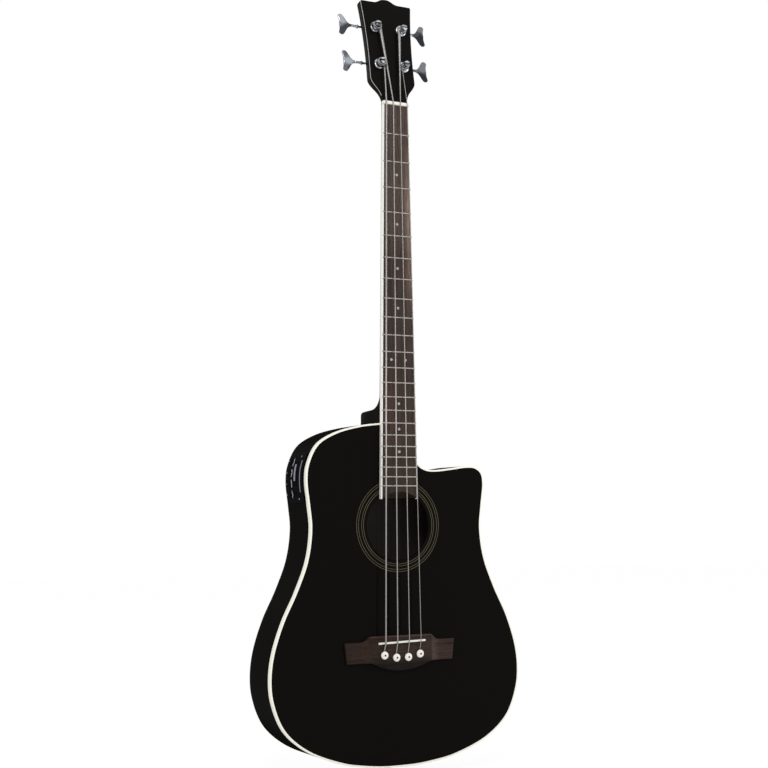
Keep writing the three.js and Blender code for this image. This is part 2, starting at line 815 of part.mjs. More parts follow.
// The bridge's outline: wings, a raised middle and a belly behind the pins
function bridgeOutline() {
  const top = saddleZ + bridgeTopToSaddle;
  const bottom = top - bridgeLength;
  const wingTop = top - bridgeLength * bridgeWingTopShare;
  const wingBottom = top - bridgeLength * bridgeWingFootShare;
  const [centre, shoulder, wing] = [bridgeCentreWidth / 2, bridgeShoulderWidth / 2, bridgeWidth / 2];
  const wingFoot = wing - bridgeLength * bridgeWingTaperShare;
  const shape = new THREE.Shape();
  shape.moveTo(-wing, wingTop);
  shape.lineTo(-wingFoot, wingBottom);
  shape.lineTo(-centre, wingBottom);
  shape.quadraticCurveTo(-centre / 2, bottom, 0, bottom);
  shape.quadraticCurveTo(centre / 2, bottom, centre, wingBottom);
  shape.lineTo(wingFoot, wingBottom);
  shape.lineTo(wing, wingTop);
  shape.lineTo(shoulder, wingTop);
  shape.bezierCurveTo(centre, wingTop, shoulder, top, centre, top);
  shape.lineTo(-centre, top);
  shape.bezierCurveTo(-shoulder, top, -centre, wingTop, -shoulder, wingTop);
  return shape.getPoints(5);
}

function buildBridge() {
  let bridge = solid(slab(bridgeOutline(), -bridgeHeight, -clearance));
  for (const sign of [-1, 1]) {
    bridge = bridge.subtract(wingScoop(sign));
  }
  const slot = saddleBlock(saddleLength + 2 * clearance, saddleThickness + 2 * clearance,
    -bridgeHeight - cutOverrun, -bridgeHeight + saddleSlotDepth);
  bridge = bridge.subtract(slot);
  pinPlaces.forEach((place) => {
    bridge = bridge.subtract(pinHole(place));
  });
  add("bridge", bridge, "rosewood");

  const floor = -bridgeHeight + saddleSlotDepth - clearance;
  const pickup = saddleBlock(saddleLength, saddleThickness, floor - pickupThickness, floor);
  add("saddle_pickup", pickup, "brass");
  add("saddle", buildSaddle(floor - pickupThickness - clearance), "ivory");
  pinPlaces.forEach((place) => add(`bridge_pin_${place.name}`, bridgePin(place), "ivory"));
}

// The hollow that thins one wing of the bridge beyond its shoulder
function wingScoop(sign) {
  const [inner, outer] = [(bridgeCentreWidth / 2) * sign, (bridgeShoulderWidth / 2) * sign];
  const far = (bridgeWidth / 2 + cutOverrun) * sign;
  const ring = (z) => [
    new THREE.Vector3(inner, -bridgeHeight, z),
    new THREE.Vector3(outer, -bridgeWingHeight, z),
    new THREE.Vector3(far, -bridgeWingHeight, z),
    new THREE.Vector3(far, -bridgeHeight - cutOverrun, z),
    new THREE.Vector3(inner, -bridgeHeight - cutOverrun, z),
  ];
  return solid(loft([ring(saddleZ - bridgeLength * 2), ring(saddleZ + bridgeLength * 2)]));
}

// A bar along the saddle's slanted line
function saddleBlock(length, thickness, fromY, toY) {
  const geometry = slab(rectangle(-length / 2, -thickness / 2, length / 2, thickness / 2), fromY, toY);
  geometry.rotateY(-saddleAngle);
  geometry.translate(0, 0, saddleZ);
  return solid(geometry);
}

// The saddle: a bar with a rounded crown
function buildSaddle(footY) {
  const crownY = -bridgeHeight - saddleCrown;
  const half = saddleThickness / 2;
  const shape = new THREE.Shape();
  shape.moveTo(-half, -footY);
  shape.lineTo(-half, -crownY - half);
  shape.quadraticCurveTo(-half, -crownY, 0, -crownY);
  shape.quadraticCurveTo(half, -crownY, half, -crownY - half);
  shape.lineTo(half, -footY);
  const settings = { depth: saddleLength, bevelEnabled: false, curveSegments: 4 };
  const geometry = new THREE.ExtrudeGeometry(shape, settings);
  geometry.translate(0, 0, -saddleLength / 2);
  geometry.applyMatrix4(new THREE.Matrix4().makeBasis(
    new THREE.Vector3(0, 0, 1), new THREE.Vector3(0, -1, 0), new THREE.Vector3(1, 0, 0),
  ));
  geometry.rotateY(-saddleAngle);
  geometry.translate(0, 0, saddleZ);
  return geometry;
}

function bridgePin(place) {
  const seat = -bridgeHeight - clearance;
  const profile = [
    [0, -seat - pinLength], [pinTipRadius, -seat - pinLength * pinTipShare], [pinShaftRadius, -seat],
    ...pinHeadShares.map(([across, along]) => [across * pinHeadRadius, along * pinHeadHeight - seat]),
  ];
  const geometry = turned(profile, smallSides);
  geometry.rotateX(Math.PI);
  geometry.translate(place.x, 0, place.z);
  return geometry;
}

// Fingerboard, frets, bindings, nut and truss rod
function boardSide(fromShift, sign) {
  const start = nutClear;
  return [
    new THREE.Vector2(sign * (boardHalfWidth(start) + fromShift), start),
    new THREE.Vector2(sign * (boardHalfWidth(boardCornerZ) + fromShift), boardCornerZ),
  ];
}

const nutClear = -clearance;
const boardCornerZ = soundholeZ + Math.sqrt(fingerboardEndRadius ** 2 - (fingerboardEndWidth / 2) ** 2);

function buildFingerboard() {
  const woodInset = -fingerboardBindingWidth - clearance;
  const [leftTop, leftFoot] = boardSide(woodInset, -1);
  const [rightTop, rightFoot] = boardSide(woodInset, 1);
  const end = Array.from({ length: fingerboardEndSteps + 1 }, (_, i) => {
    const x = leftFoot.x + ((rightFoot.x - leftFoot.x) * i) / fingerboardEndSteps;
    return new THREE.Vector2(x, soundholeZ + Math.sqrt(fingerboardEndRadius ** 2 - x * x));
  });
  let board = solid(slab([leftTop, ...end, rightTop], -fingerboardHeight, -clearance));
  for (let fret = 1; fret <= fretCount; fret += 1) {
    board = board.add(fretBar(-fretDistance(fret)));
  }
  add("fingerboard", board, "rosewood");
  for (const [side, sign] of [["bass", -1], ["treble", 1]]) {
    const [outerTop, outerFoot] = boardSide(0, sign);
    const [innerTop, innerFoot] = boardSide(-fingerboardBindingWidth, sign);
    const strip = [outerTop, outerFoot, innerFoot, innerTop];
    const points = sign > 0 ? strip.reverse() : strip;
    add(`fingerboard_binding_${side}`, slab(points, -fingerboardHeight + clearance, -clearance), "ivory");
  }
}

// A fret: a low crown over the full width, on a tang sunk in the wood
function fretBar(z) {
  const half = fretWidth / 2;
  const halfLength = boardHalfWidth(z);
  const wood = halfLength - fingerboardBindingWidth - 2 * clearance;
  const ring = (x) => fretCrownShares.map(([across, up]) => (
    new THREE.Vector3(x, -fingerboardHeight - up * fretHeight, z + across * half)
  ));
  const crownBar = solid(loft([ring(-halfLength), ring(halfLength)]));
  const tangHalf = half * fretTangShare;
  const tangTop = -fingerboardHeight - fretHeight * fretTangShare;
  const tang = block(-wood, z - tangHalf, wood, z + tangHalf, tangTop, -fingerboardHeight + fretSink);
  return crownBar.add(tang);
}

function buildNut() {
  const half = nutWidth / 2;
  let nut = solid(slab(rectangle(-half, 0, half, nutThickness), -nutHeight, -clearance));
  stringNames.forEach((name, i) => {
    const radius = stringRadii[i] + clearance;
    const route = nutRoute(i);
    nut = nut.subtract(solid(tube(route, route.map(() => radius), stringSides)));
  });
  add("nut", nut, "ivory");
}

// The truss rod and its nut, laid in a channel under the fingerboard
function buildTrussRod() {
  const foot = bodyTopZ + clearance;
  const half = trussRodWidth / 2;
  const bar = block(-half, foot, half, -trussRodFromNut, 2 * clearance, trussRodDepth);
  const nut = new THREE.CylinderGeometry(trussNutRadius, trussNutRadius, trussNutLength, trussNutSides);
  nut.rotateX(Math.PI / 2);
  nut.translate(0, trussAxisY, foot + trussNutLength / 2);
  add("truss_rod", bar.add(solid(nut)), "steel");
}

// The channel in the neck that the truss rod lies in
function trussChannel() {
  const half = trussRodWidth / 2 + clearance;
  const channel = block(-half, bodyTopZ - cutOverrun, half, -trussRodFromNut + clearance,
    -cutOverrun, trussRodDepth + clearance);
  const wide = trussNutRadius + clearance;
  const seat = block(-wide, bodyTopZ - cutOverrun, wide, bodyTopZ + 2 * clearance + trussNutLength,
    -cutOverrun, trussAxisY + wide);
  return channel.add(seat);
}

// One section of the neck: flat in front, curved behind, squarer as the share falls
function neckSection(z, depth, roundnessShare) {
  const half = boardHalfWidth(Math.min(z, 0));
  return Array.from({ length: neckBackSteps + 1 }, (_, i) => {
    const turn = (Math.PI * i) / neckBackSteps;
    const across = Math.sign(Math.cos(turn)) * Math.abs(Math.cos(turn)) ** roundnessShare;
    const back = Math.sin(turn) ** roundnessShare;
    return new THREE.Vector3(half * across, depth * Math.max(back, 0), z);
  });
}

function buildNeck() {
  const heelFace = bodyTopZ + clearance;
  const shelf = bodyTopZ + heelHeight;
  const heelDepth = bodyDepthAtNeck + backArch;
  const throatTop = shelf + heelThroat;
  const deepest = heelDepth - neckDepthAtHeel;
  const corner = heelRound * heelCornerShare;
  const throat = heelThroatShares.map(([along, deep], i) => (
    neckSection(shelf + heelThroat * along, neckDepthAtHeel + deepest * deep, throatRoundnessShares[i])
  ));
  const sections = [
    neckSection(heelFace, heelDepth, heelRoundnessShare),
    neckSection(shelf - heelRound, heelDepth, heelRoundnessShare),
    neckSection(shelf - corner, heelDepth - corner, heelRoundnessShare),
    neckSection(shelf, heelDepth - heelRound, shelfRoundnessShare),
    ...throat,
    neckSection(throatTop, neckDepthAtHeel, neckRoundnessShare),
    neckSection(throatTop / 2, (neckDepthAtHeel + neckDepthAtNut) / 2, neckRoundnessShare),
    neckSection(-nutTaperLength, neckDepthAtNut, neckRoundnessShare),
    neckSection(nutThickness, neckDepthAtNut, headRootRoundnessShare),
    neckSection(headRootLength, neckDepthAtNut, headRootRoundnessShare),
  ];
  let neck = solid(loft(sections));
  neck = neck.subtract(trussChannel());
  neck = neck.add(headstock());
  add("neck", neck, "lacquer");
}

// Directions of the headstock: up its face and out of its face
const tilt = THREE.MathUtils.degToRad(headTilt);
const headUp = new THREE.Vector3(0, Math.sin(tilt), Math.cos(tilt));
const headOut = new THREE.Vector3(0, -Math.cos(tilt), Math.sin(tilt));
const headOrigin = new THREE.Vector3(0, -headFaceLift, 0);

// A place given across the head, up its face and out of its face
function onHead(x, up, out) {
  return headOrigin.clone().addScaledVector(headUp, up).addScaledVector(headOut, out).setX(x);
}

// Turns a geometry built with Z up the face and -Y out of the face onto the headstock
function seatOnHead(geometry, x, up) {
  geometry.rotateX(-tilt);
  const place = onHead(x, up, 0);
  geometry.translate(place.x, place.y, place.z);
  return geometry;
}

const postPlaces = [
  { name: "e", x: -lowerPostOffset, up: lowerPostShare * headLength, side: -1 },
  { name: "a", x: -upperPostOffset, up: upperPostShare * headLength, side: -1 },
  { name: "d", x: upperPostOffset, up: upperPostShare * headLength, side: 1 },
  { name: "g", x: lowerPostOffset, up: lowerPostShare * headLength, side: 1 },
];

// Half of the headstock's outline on the treble side, from the nut to the crest
function headSide() {
  const foot = (nutThickness + clearance) / Math.cos(tilt);
  const curve = new THREE.CurvePath();
  const narrow = nutWidth / 2;
  const [shoulder, waist, top] = [headShoulderWidth / 2, headWaistWidth / 2, headTopWidth / 2];
  const rise = headShoulderHeight - foot;
  const [flareStart, flareEnd] = headFlareShares.map((share) => foot + rise * share);
  curve.add(new THREE.CubicBezierCurve(
    new THREE.Vector2(narrow, foot),
    new THREE.Vector2(narrow, flareStart),
    new THREE.Vector2(shoulder - narrow * headFlareTurnShare, flareEnd),
    new THREE.Vector2(shoulder, headShoulderHeight),
  ));
  curve.add(new THREE.QuadraticBezierCurve(
    new THREE.Vector2(shoulder, headShoulderHeight),
    new THREE.Vector2(waist - (shoulder - waist), (headShoulderHeight + headLength) / 2),
    new THREE.Vector2(top, headLength - headCornerRadius),
  ));
  curve.add(new THREE.QuadraticBezierCurve(
    new THREE.Vector2(top, headLength - headCornerRadius),
    new THREE.Vector2(top, headLength),
    new THREE.Vector2(top - headCornerRadius, headLength),
  ));
  const crestHalf = top * crestWidthShare;
  curve.add(new THREE.LineCurve(
    new THREE.Vector2(top - headCornerRadius, headLength),
    new THREE.Vector2(crestHalf, headLength),
  ));
  curve.add(new THREE.CubicBezierCurve(
    new THREE.Vector2(crestHalf, headLength),
    new THREE.Vector2(crestHalf * crestTurnShare, headLength),
    new THREE.Vector2(crestHalf * crestTurnShare, headLength + headCrest),
    new THREE.Vector2(0, headLength + headCrest),
  ));
  return curve.getPoints(6);
}

function headstock() {
  const right = headSide();
  const left = right.slice(0, -1).reverse().map((point) => new THREE.Vector2(-point.x, point.y));
  const geometry = slab([...right, ...left], 0, headThickness);
  const nutRoom = block(-nutWidth, -cutOverrun, nutWidth, nutThickness + clearance, -cutOverrun, 0);
  let head = solid(seatOnHead(geometry, 0, 0)).subtract(nutRoom);
  postPlaces.forEach((place) => {
    const radius = bushingSleeveRadius + clearance;
    const hole = new THREE.CylinderGeometry(radius, radius, headThickness + cutOverrun, roundSides);
    head = head.subtract(solid(seatOnHead(hole, place.x, place.up)));
  });
  return head;
}

// Heights out of the head's face at the back of the headstock, all negative
const plateFront = -headThickness - clearance;
const plateBack = plateFront - basePlateThickness;
const gearFront = plateBack - gearToPlate;
const gearMiddle = gearFront - gearThickness / 2;
const gearBack = gearFront - gearThickness;
const wormOffset = gearPitchRadius + wormPitchRadius;
const wormPitch = (2 * Math.PI * gearPitchRadius) / gearTeeth;

function buildTuners() {
  postPlaces.forEach((place, i) => {
    add(`post_bushing_${place.name}`, seatOnHead(bushing(), place.x, place.up), "chrome");
    add(`tuner_plate_${place.name}`, surface(basePlate(place)), "chrome");
    add(`string_post_${place.name}`, stringPost(place, stringRadii[i]), "chrome");
    add(`tuning_key_${place.name}`, tuningKey(place), "chrome");
  });
}

// The bushing: a domed flange on the face and a sleeve in the hole
function bushing() {
  const bore = postRadius + clearance;
  const flange = bushingFlangeShares.map(([across, up]) => (
    [across * bushingFlangeRadius, clearance + up * bushingFlangeHeight]
  ));
  const profile = [
    [bore, -bushingSleeveDepth], [bushingSleeveRadius, -bushingSleeveDepth],
    [bushingSleeveRadius, clearance], ...flange,
    [bore, clearance + bushingFlangeHeight], [bore, -bushingSleeveDepth],
  ];
  const geometry = turned(profile, roundSides);
  geometry.rotateX(Math.PI);
  return geometry;
}

// The plate screwed to the back, with two lugs that carry the worm's shaft
function basePlate(place) {
  const plate = roundedRectangle(basePlateWidth, basePlateLength, basePlateRound, 3);
  const middle = wormOffset / 2;
  const geometry = slab(plate, -plateFront, -plateBack);
  geometry.translate(0, 0, middle);
  let body = solid(geometry);
  const postBore = postRadius + clearance;
  const bore = new THREE.CylinderGeometry(postBore, postBore, cutOverrun * 2, roundSides);
  body = body.subtract(solid(bore));
  for (const side of [-1, 1]) {
    const lug = roundedLug();
    lug.translate(side * lugSpread, 0, wormOffset);
    body = body.add(solid(lug));
  }
  const shaftBore = shaftRadius + clearance;
  const shaft = new THREE.CylinderGeometry(shaftBore, shaftBore, cutOverrun * 2, smallSides);
  shaft.rotateZ(Math.PI / 2);
  shaft.translate(0, -gearMiddle, wormOffset);
  body = body.subtract(solid(shaft));
  return solid(seatOnHead(surface(body), place.x, place.up));
}

// A lug: square at the plate, round about the shaft, extruded along X
function roundedLug() {
  const shape = new THREE.Shape();
  shape.moveTo(-lugHalfWidth, -plateBack - basePlateThickness / 2);
  shape.lineTo(-lugHalfWidth, -gearMiddle);
  shape.absarc(0, -gearMiddle, lugHalfWidth, Math.PI, 0, true);
  shape.lineTo(lugHalfWidth, -plateBack - basePlateThickness / 2);
  const settings = { depth: lugThickness, bevelEnabled: false, curveSegments: 6 };
  const geometry = new THREE.ExtrudeGeometry(shape, settings);
  geometry.translate(0, 0, -lugThickness / 2);
  geometry.rotateY(Math.PI / 2);
  return geometry;
}

// The post with its waist and slot, carrying the gear wheel at its foot
function stringPost(place, stringRadius) {
  const profile = [
    [0, gearBack], [postRadius, gearBack], [postRadius, postWaistBottom - postWaistSlope],
    [postWaistRadius, postWaistBottom], [postWaistRadius, postWaistTop],
    [postRadius, postWaistTop + postWaistSlope],
    [postRadius, postTop - postChamfer], [postRadius - postChamfer, postTop], [0, postTop],
  ];
  const post = turned(profile, roundSides);
  post.rotateX(Math.PI);
  const slotHalf = stringRadius + postSlotSlack;
  const slot = block(-postRadius * 2, -slotHalf, postRadius * 2, slotHalf, -postTop * 2, -postSlotBottom);
  const screwLength = gearScrewHeight * 2;
  const screw = new THREE.CylinderGeometry(gearScrewRadius, gearScrewRadius, screwLength, smallSides);
  screw.translate(0, -gearBack, 0);
  const body = solid(post).subtract(slot).add(gearWheel()).add(solid(screw));
  return solid(seatOnHead(surface(body), place.x, place.up));
}

// The wheel: teeth around the pitch circle, one of them facing the worm
function gearWheel() {
  const root = gearPitchRadius - toothHeight / 2 - toothPlay;
  const points = [];
  for (let tooth = 0; tooth < gearTeeth; tooth += 1) {
    for (const [up, along] of toothShares) {
      const radius = root + up * (toothHeight + toothPlay);
      const turn = Math.PI / 2 + (2 * Math.PI * (tooth + along)) / gearTeeth;
      points.push(new THREE.Vector2(radius * Math.cos(turn), radius * Math.sin(turn)));
    }
  }
  return solid(slab(points, -gearFront, -gearBack));
}

// The worm: a thread one wheel tooth in pitch, wound as a screw about X, with a hollow facing the wheel
function wormThread() {
  const rows = wormTurns * wormStepsPerTurn;
  const root = wormPitchRadius - toothHeight / 2 - toothPlay;
  const rings = Array.from({ length: rows + 1 }, (_, row) => {
    const along = row / wormStepsPerTurn - wormTurns / 2;
    return Array.from({ length: smallSides }, (_, k) => {
      const turn = (2 * Math.PI * k) / smallSides;
      const phase = along + 1.25 - turn / (2 * Math.PI);
      const wave = Math.abs(2 * (phase - Math.floor(phase)) - 1);
      const riseShare = THREE.MathUtils.clamp((wave - threadRootShare) / threadFlankShare, 0, 1);
      const radius = root + riseShare * (toothHeight + toothPlay);
      return new THREE.Vector3(along * wormPitch, radius * Math.cos(turn), radius * Math.sin(turn));
    });
  });
  return solid(loft(rings));
}

// The key: worm, shaft, collar and the broad handle, turning as one about X
function tuningKey(place) {
  const shaftStart = -lugSpread - lugThickness / 2 - clearance * 2;
  const profile = [
    [0, shaftStart], [shaftRadius, shaftStart], [shaftRadius, keyCollarReach],
    [keyCollarRadius, keyCollarReach], [keyCollarRadius, keyCollarReach + keyCollarThickness],
    [keyStemRadius, keyCollarReach + keyCollarThickness + keyStemTaper], [keyStemRadius, keyNeckReach],
    [0, keyNeckReach],
  ];
  const shaft = turned(profile, smallSides);
  shaft.rotateZ(-Math.PI / 2);
  const body = wormThread().add(solid(shaft)).add(keyHandle());
  const geometry = surface(body);
  if (place.side < 0) {
    geometry.rotateZ(Math.PI);
  }
  geometry.translate(0, -gearMiddle, wormOffset);
  return solid(seatOnHead(geometry, place.x, place.up));
}

// The handle: two lobes spreading from a narrow neck, extruded to its thickness
function keyHandle() {
  const start = keyNeckReach - shaftRadius;
  const reach = keyTipReach - start;
  const lobe = keyLobeShares.map(([along, across]) => (
    new THREE.Vector2(start + along * reach, (across * keySpan) / 2)
  ));
  const neck = new THREE.Vector2(start, shaftRadius);
  const waist = new THREE.Vector2(start + keyWaistShare * reach, shaftRadius);
  const half = new THREE.CurvePath();
  half.add(new THREE.CubicBezierCurve(neck, waist, lobe[0], lobe[1]));
  half.add(new THREE.QuadraticBezierCurve(lobe[1], lobe[2], lobe[3]));
  half.add(new THREE.QuadraticBezierCurve(lobe[3], lobe[4], lobe[5]));
  const upper = half.getPoints(keyCurveSteps);
  const lower = upper.slice(0, -1).reverse().map((point) => new THREE.Vector2(point.x, -point.y));
  return solid(slab([...upper, ...lower], -keyThickness / 2, keyThickness / 2));
}

// Where a string crosses the nut: level with the board, then down toward its post
function nutRoute(i) {
  const x = stringX(i, nutStringSpacing);
  const y = -fingerboardHeight - fretHeight - stringRiseAtNut;
  const over = new THREE.Vector3(x, y, nutThickness / 2);
  const saddle = saddlePoint(pinPlaces[i]);
  const entry = windingStart(i).point;
  const before = over.clone().add(saddle.clone().sub(over).setLength(nutThickness * 2));
  const after = over.clone().add(entry.clone().sub(over).setLength(nutThickness * 2));
  return [before, over, after];
}

// Where the string first touches its post's waist, and the angle there
function windingStart(i) {
  const place = postPlaces[i];
  const radius = postWaistRadius + clearance + stringRadii[i];
  const fromX = stringX(i, nutStringSpacing);
  const fromUp = nutThickness / 2;
  const [awayX, awayUp] = [fromX - place.x, fromUp - place.up];
  const distance = Math.hypot(awayX, awayUp);
  const toward = Math.atan2(awayUp, awayX);
  const angle = toward - place.side * Math.acos(radius / distance);
  const out = postWaistBottom + clearance + stringRadii[i];
  const point = onHead(place.x + radius * Math.cos(angle), place.up + radius * Math.sin(angle), out);
  return { point, angle, radius, out };
}

// The winding up the post's waist, then the tail bent in through the slot and past the centre
function windingRoute(i) {
  const place = postPlaces[i];
  const { angle, radius, out } = windingStart(i);
  const direction = -place.side;
  const slotAngle = direction > 0 ? 0 : Math.PI;
  const leaving = THREE.MathUtils.degToRad(slotTurnAngle);
  const fullTurn = 2 * Math.PI;
  const firstSweep = THREE.MathUtils.euclideanModulo((slotAngle - angle) * direction, fullTurn);
  const sweep = firstSweep + (wholeWindings[i] - 1) * fullTurn - leaving;
  const slotOut = postSlotBottom + clearance + stringRadii[i];
  const rise = Math.max(slotOut - out, ((2 * stringRadii[i] + windingGap) * sweep) / fullTurn);
  const steps = Math.round((windingSteps * sweep) / fullTurn);
  const coil = Array.from({ length: steps + 1 }, (_, k) => {
    const share = k / steps;
    const turn = angle + direction * sweep * share;
    const [across, up] = [radius * Math.cos(turn), radius * Math.sin(turn)];
    return onHead(place.x + across, place.up + up, out + rise * share);
  });
  const mouth = (direction * radius) / Math.cos(leaving);
  const corner = onHead(place.x + mouth, place.up, out + rise);
  const end = onHead(place.x - direction * tailPastCentre, place.up, out + rise);
  return [...coil.slice(0, -1), ...bend(coil.at(-1), corner, end, radius * Math.tan(leaving)), end];
}

// The least gap between a tube's points that are at least so many steps apart
function leastGap(points, radius, skip) {
  let least = Infinity;
  points.forEach((one, i) => {
    for (let k = i + skip; k < points.length; k += 1) {
      least = Math.min(least, one.distanceTo(points[k]) - 2 * radius);
    }
  });
  return least;
}

function buildStrings() {
  stringNames.forEach((name, i) => {
    const radius = stringRadii[i];
    const anchor = anchorRoute(pinPlaces[i]);
    const saddle = saddlePoint(pinPlaces[i]);
    const route = nutRoute(i);
    const winding = windingRoute(i);
    const gap = leastGap(winding, radius, windingSteps - windingSteps / 4);
    console.log(`winding of string ${name}: least gap to itself ${gap.toFixed(2)} mm`);
    const points = [
      ...anchor,
      ...bend(anchor.at(-1), saddle, route[1], saddleBend),
      ...bend(saddle, route[1], winding[0], bendReach),
      ...winding,
    ];
    const radii = points.map((_, k) => (k < 2 ? ballRadius : radius));
    add(`string_${name}`, tube(points, radii, stringSides), "steel");
  });
}

// The preamp: a curved panel on the rib, a case behind it, four knobs and two buttons
const preampZ = bodyBottomZ + preampShare * bodyLength;
const panelMiddleY = preampEdge + preampWidth / 2;
const caseFront = topInner + liningDepth + clearance;

// The bass-side outline at a height: the place and the direction out of the rib
function ribPlace(z) {
  const upper = bassStations.findIndex((point, i) => i > 0 && point.y >= z && bassStations[i - 1].y < z);
  const [one, two] = [bassStations[upper - 1], bassStations[upper]];
  const share = (z - one.y) / (two.y - one.y);
  const point = one.clone().lerp(two, share);
  const along = two.clone().sub(one).normalize();
  return { point, outward: new THREE.Vector2(-along.y, along.x) };
}

function preampCutout(slack) {
  const { point, outward } = ribPlace(preampZ);
  const halfLength = preampCaseLength / 2 + slack;
  const zone = slab(rectangle(-preampCaseDepth, -halfLength, cutOverrun, halfLength),
    caseFront - slack, caseFront + preampCaseWidth + slack);
  zone.rotateY(-Math.atan2(outward.y, outward.x));
  zone.translate(point.x, 0, point.y);
  return solid(zone);
}

function buildPreamp() {
  const face = inset(outline, -clearance);
  const front = inset(outline, -clearance - preampPanelThickness);
  const near = (point) => Math.abs(point.y - preampZ) < preampLength;
  const back = () => preampEdge + preampWidth;
  const strip = solid(wall(front, face, true, () => preampEdge, back, near));
  let panel = strip.intersect(windowZone());
  const through = 2 * preampPanelThickness;
  knobPlaces().forEach((place) => {
    panel = panel.subtract(ribCylinder(place, knobShaftRadius + clearance, -through, through));
  });
  buttonPlaces().forEach((place) => {
    panel = panel.subtract(ribCylinder(place, buttonRadius + clearance, -through, through));
  });
  add("preamp_panel", panel, "plastic");
  const body = preampCutout(0).intersect(solid(slab(inset(outline, clearance), 0, bodyDepthAtTail)));
  add("preamp_case", body, "plastic");
  knobPlaces().forEach((place, i) => add(`preamp_knob_${i + 1}`, knob(place), "plastic"));
  buttonPlaces().forEach((place, i) => {
    const outer = clearance + preampPanelThickness;
    const button = ribCylinder(place, buttonRadius, outer - buttonSink, outer + buttonHeight);
    add(`preamp_button_${i + 1}`, button, "plastic");
  });
}

// The rounded outline of the panel, carried along X through the rib
function windowZone() {
  const shape = new THREE.Shape(roundedRectangle(preampWidth, preampLength, preampRound));
  const geometry = new THREE.ExtrudeGeometry(shape, { depth: halfWidth, bevelEnabled: false });
  geometry.applyMatrix4(new THREE.Matrix4().makeBasis(
    new THREE.Vector3(0, 1, 0), new THREE.Vector3(0, 0, 1), new THREE.Vector3(1, 0, 0),
  ));
  geometry.translate(-halfWidth - cutOverrun, panelMiddleY, preampZ);
  return solid(geometry);
}

function knobPlaces() {
  const y = preampEdge + preampWidth - knobFromBackEdge;
  return Array.from({ length: knobCount }, (_, i) => {
    const z = preampZ + (i - (knobCount - 1) / 2) * knobSpacing;
    return { ...ribPlace(z), y };
  });
}

function buttonPlaces() {
  const rib = ribPlace(preampZ - buttonDrop);
  const y = preampEdge + buttonFromFrontEdge;
  return [{ ...rib, y: y - buttonSpacing }, { ...rib, y }];
}

// A turned solid whose axis stands out of the rib at a place
function onRib(geometry, place) {
  const out = new THREE.Vector3(place.outward.x, 0, place.outward.y);
  geometry.applyQuaternion(new THREE.Quaternion().setFromUnitVectors(new THREE.Vector3(0, 1, 0), out));
  geometry.translate(place.point.x, place.y, place.point.y);
  return solid(geometry);
}

function ribCylinder(place, radius, from, to) {
  return onRib(turned([[0, from], [radius, from], [radius, to], [0, to]], smallSides), place);
}

function knob(place) {
  const seat = 2 * clearance + preampPanelThickness;
  const profile = [
    [0, clearance], [knobShaftRadius, clearance], [knobShaftRadius, seat],
    ...knobShares.map(([across, along]) => [across * knobRadius, seat + along * knobHeight]),
  ];
  return onRib(turned(profile, smallSides), place);
}

// The end pin, which is also the output socket: a waist for the strap and a barrel through the block
function buildEndPin() {
  const flangeFoot = bodyBottomZ - clearance;
  const face = flangeFoot - endPinReach;
  const waistStart = face + endPinFlange + endPinFlare;
  const waistEnd = flangeFoot - endPinCollar - endPinFlare;
  const profile = [
    [0, face + socketDepth], [socketRadius, face + socketDepth], [socketRadius, face],
    [endPinFaceRadius, face], [endPinFaceRadius, face + endPinFlange],
    [endPinWaistRadius, waistStart], [endPinWaistRadius, waistEnd],
    [endPinFaceRadius, flangeFoot - endPinCollar], [endPinFaceRadius, flangeFoot],
    [endPinBarrelRadius, flangeFoot], [endPinBarrelRadius, flangeFoot + endPinBarrelLength],
    [0, flangeFoot + endPinBarrelLength],
  ];
  const geometry = turned(profile, roundSides);
  geometry.rotateX(Math.PI / 2);
  geometry.translate(0, jackY, 0);
  add("end_pin", geometry, "chrome");
}

// The battery, held against the neck block near the back
const batteryTopZ = neckBlockFoot - clearance;

function buildBattery() {
  const seatY = backInner(new THREE.Vector2(0, batteryTopZ)) - 4 * clearance;
  const shape = roundedRectangle(batteryLength, batteryWidth, batteryRound, 2);
  const geometry = slab(shape, seatY - batteryThickness, seatY);
  geometry.translate(0, 0, batteryTopZ - batteryWidth / 2);
  add("battery", geometry, "plastic");
}

buildBody();
buildBlocks();
buildBraces();
buildBridge();
buildNeck();
buildTrussRod();
buildFingerboard();
buildNut();
buildTuners();
buildStrings();
buildPreamp();
buildEndPin();
buildBattery();

export default bass;
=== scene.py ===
import json

import bpy
import numpy as np
from mathutils import Matrix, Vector
from bpy.props import FloatProperty, FloatVectorProperty, IntProperty, PointerProperty


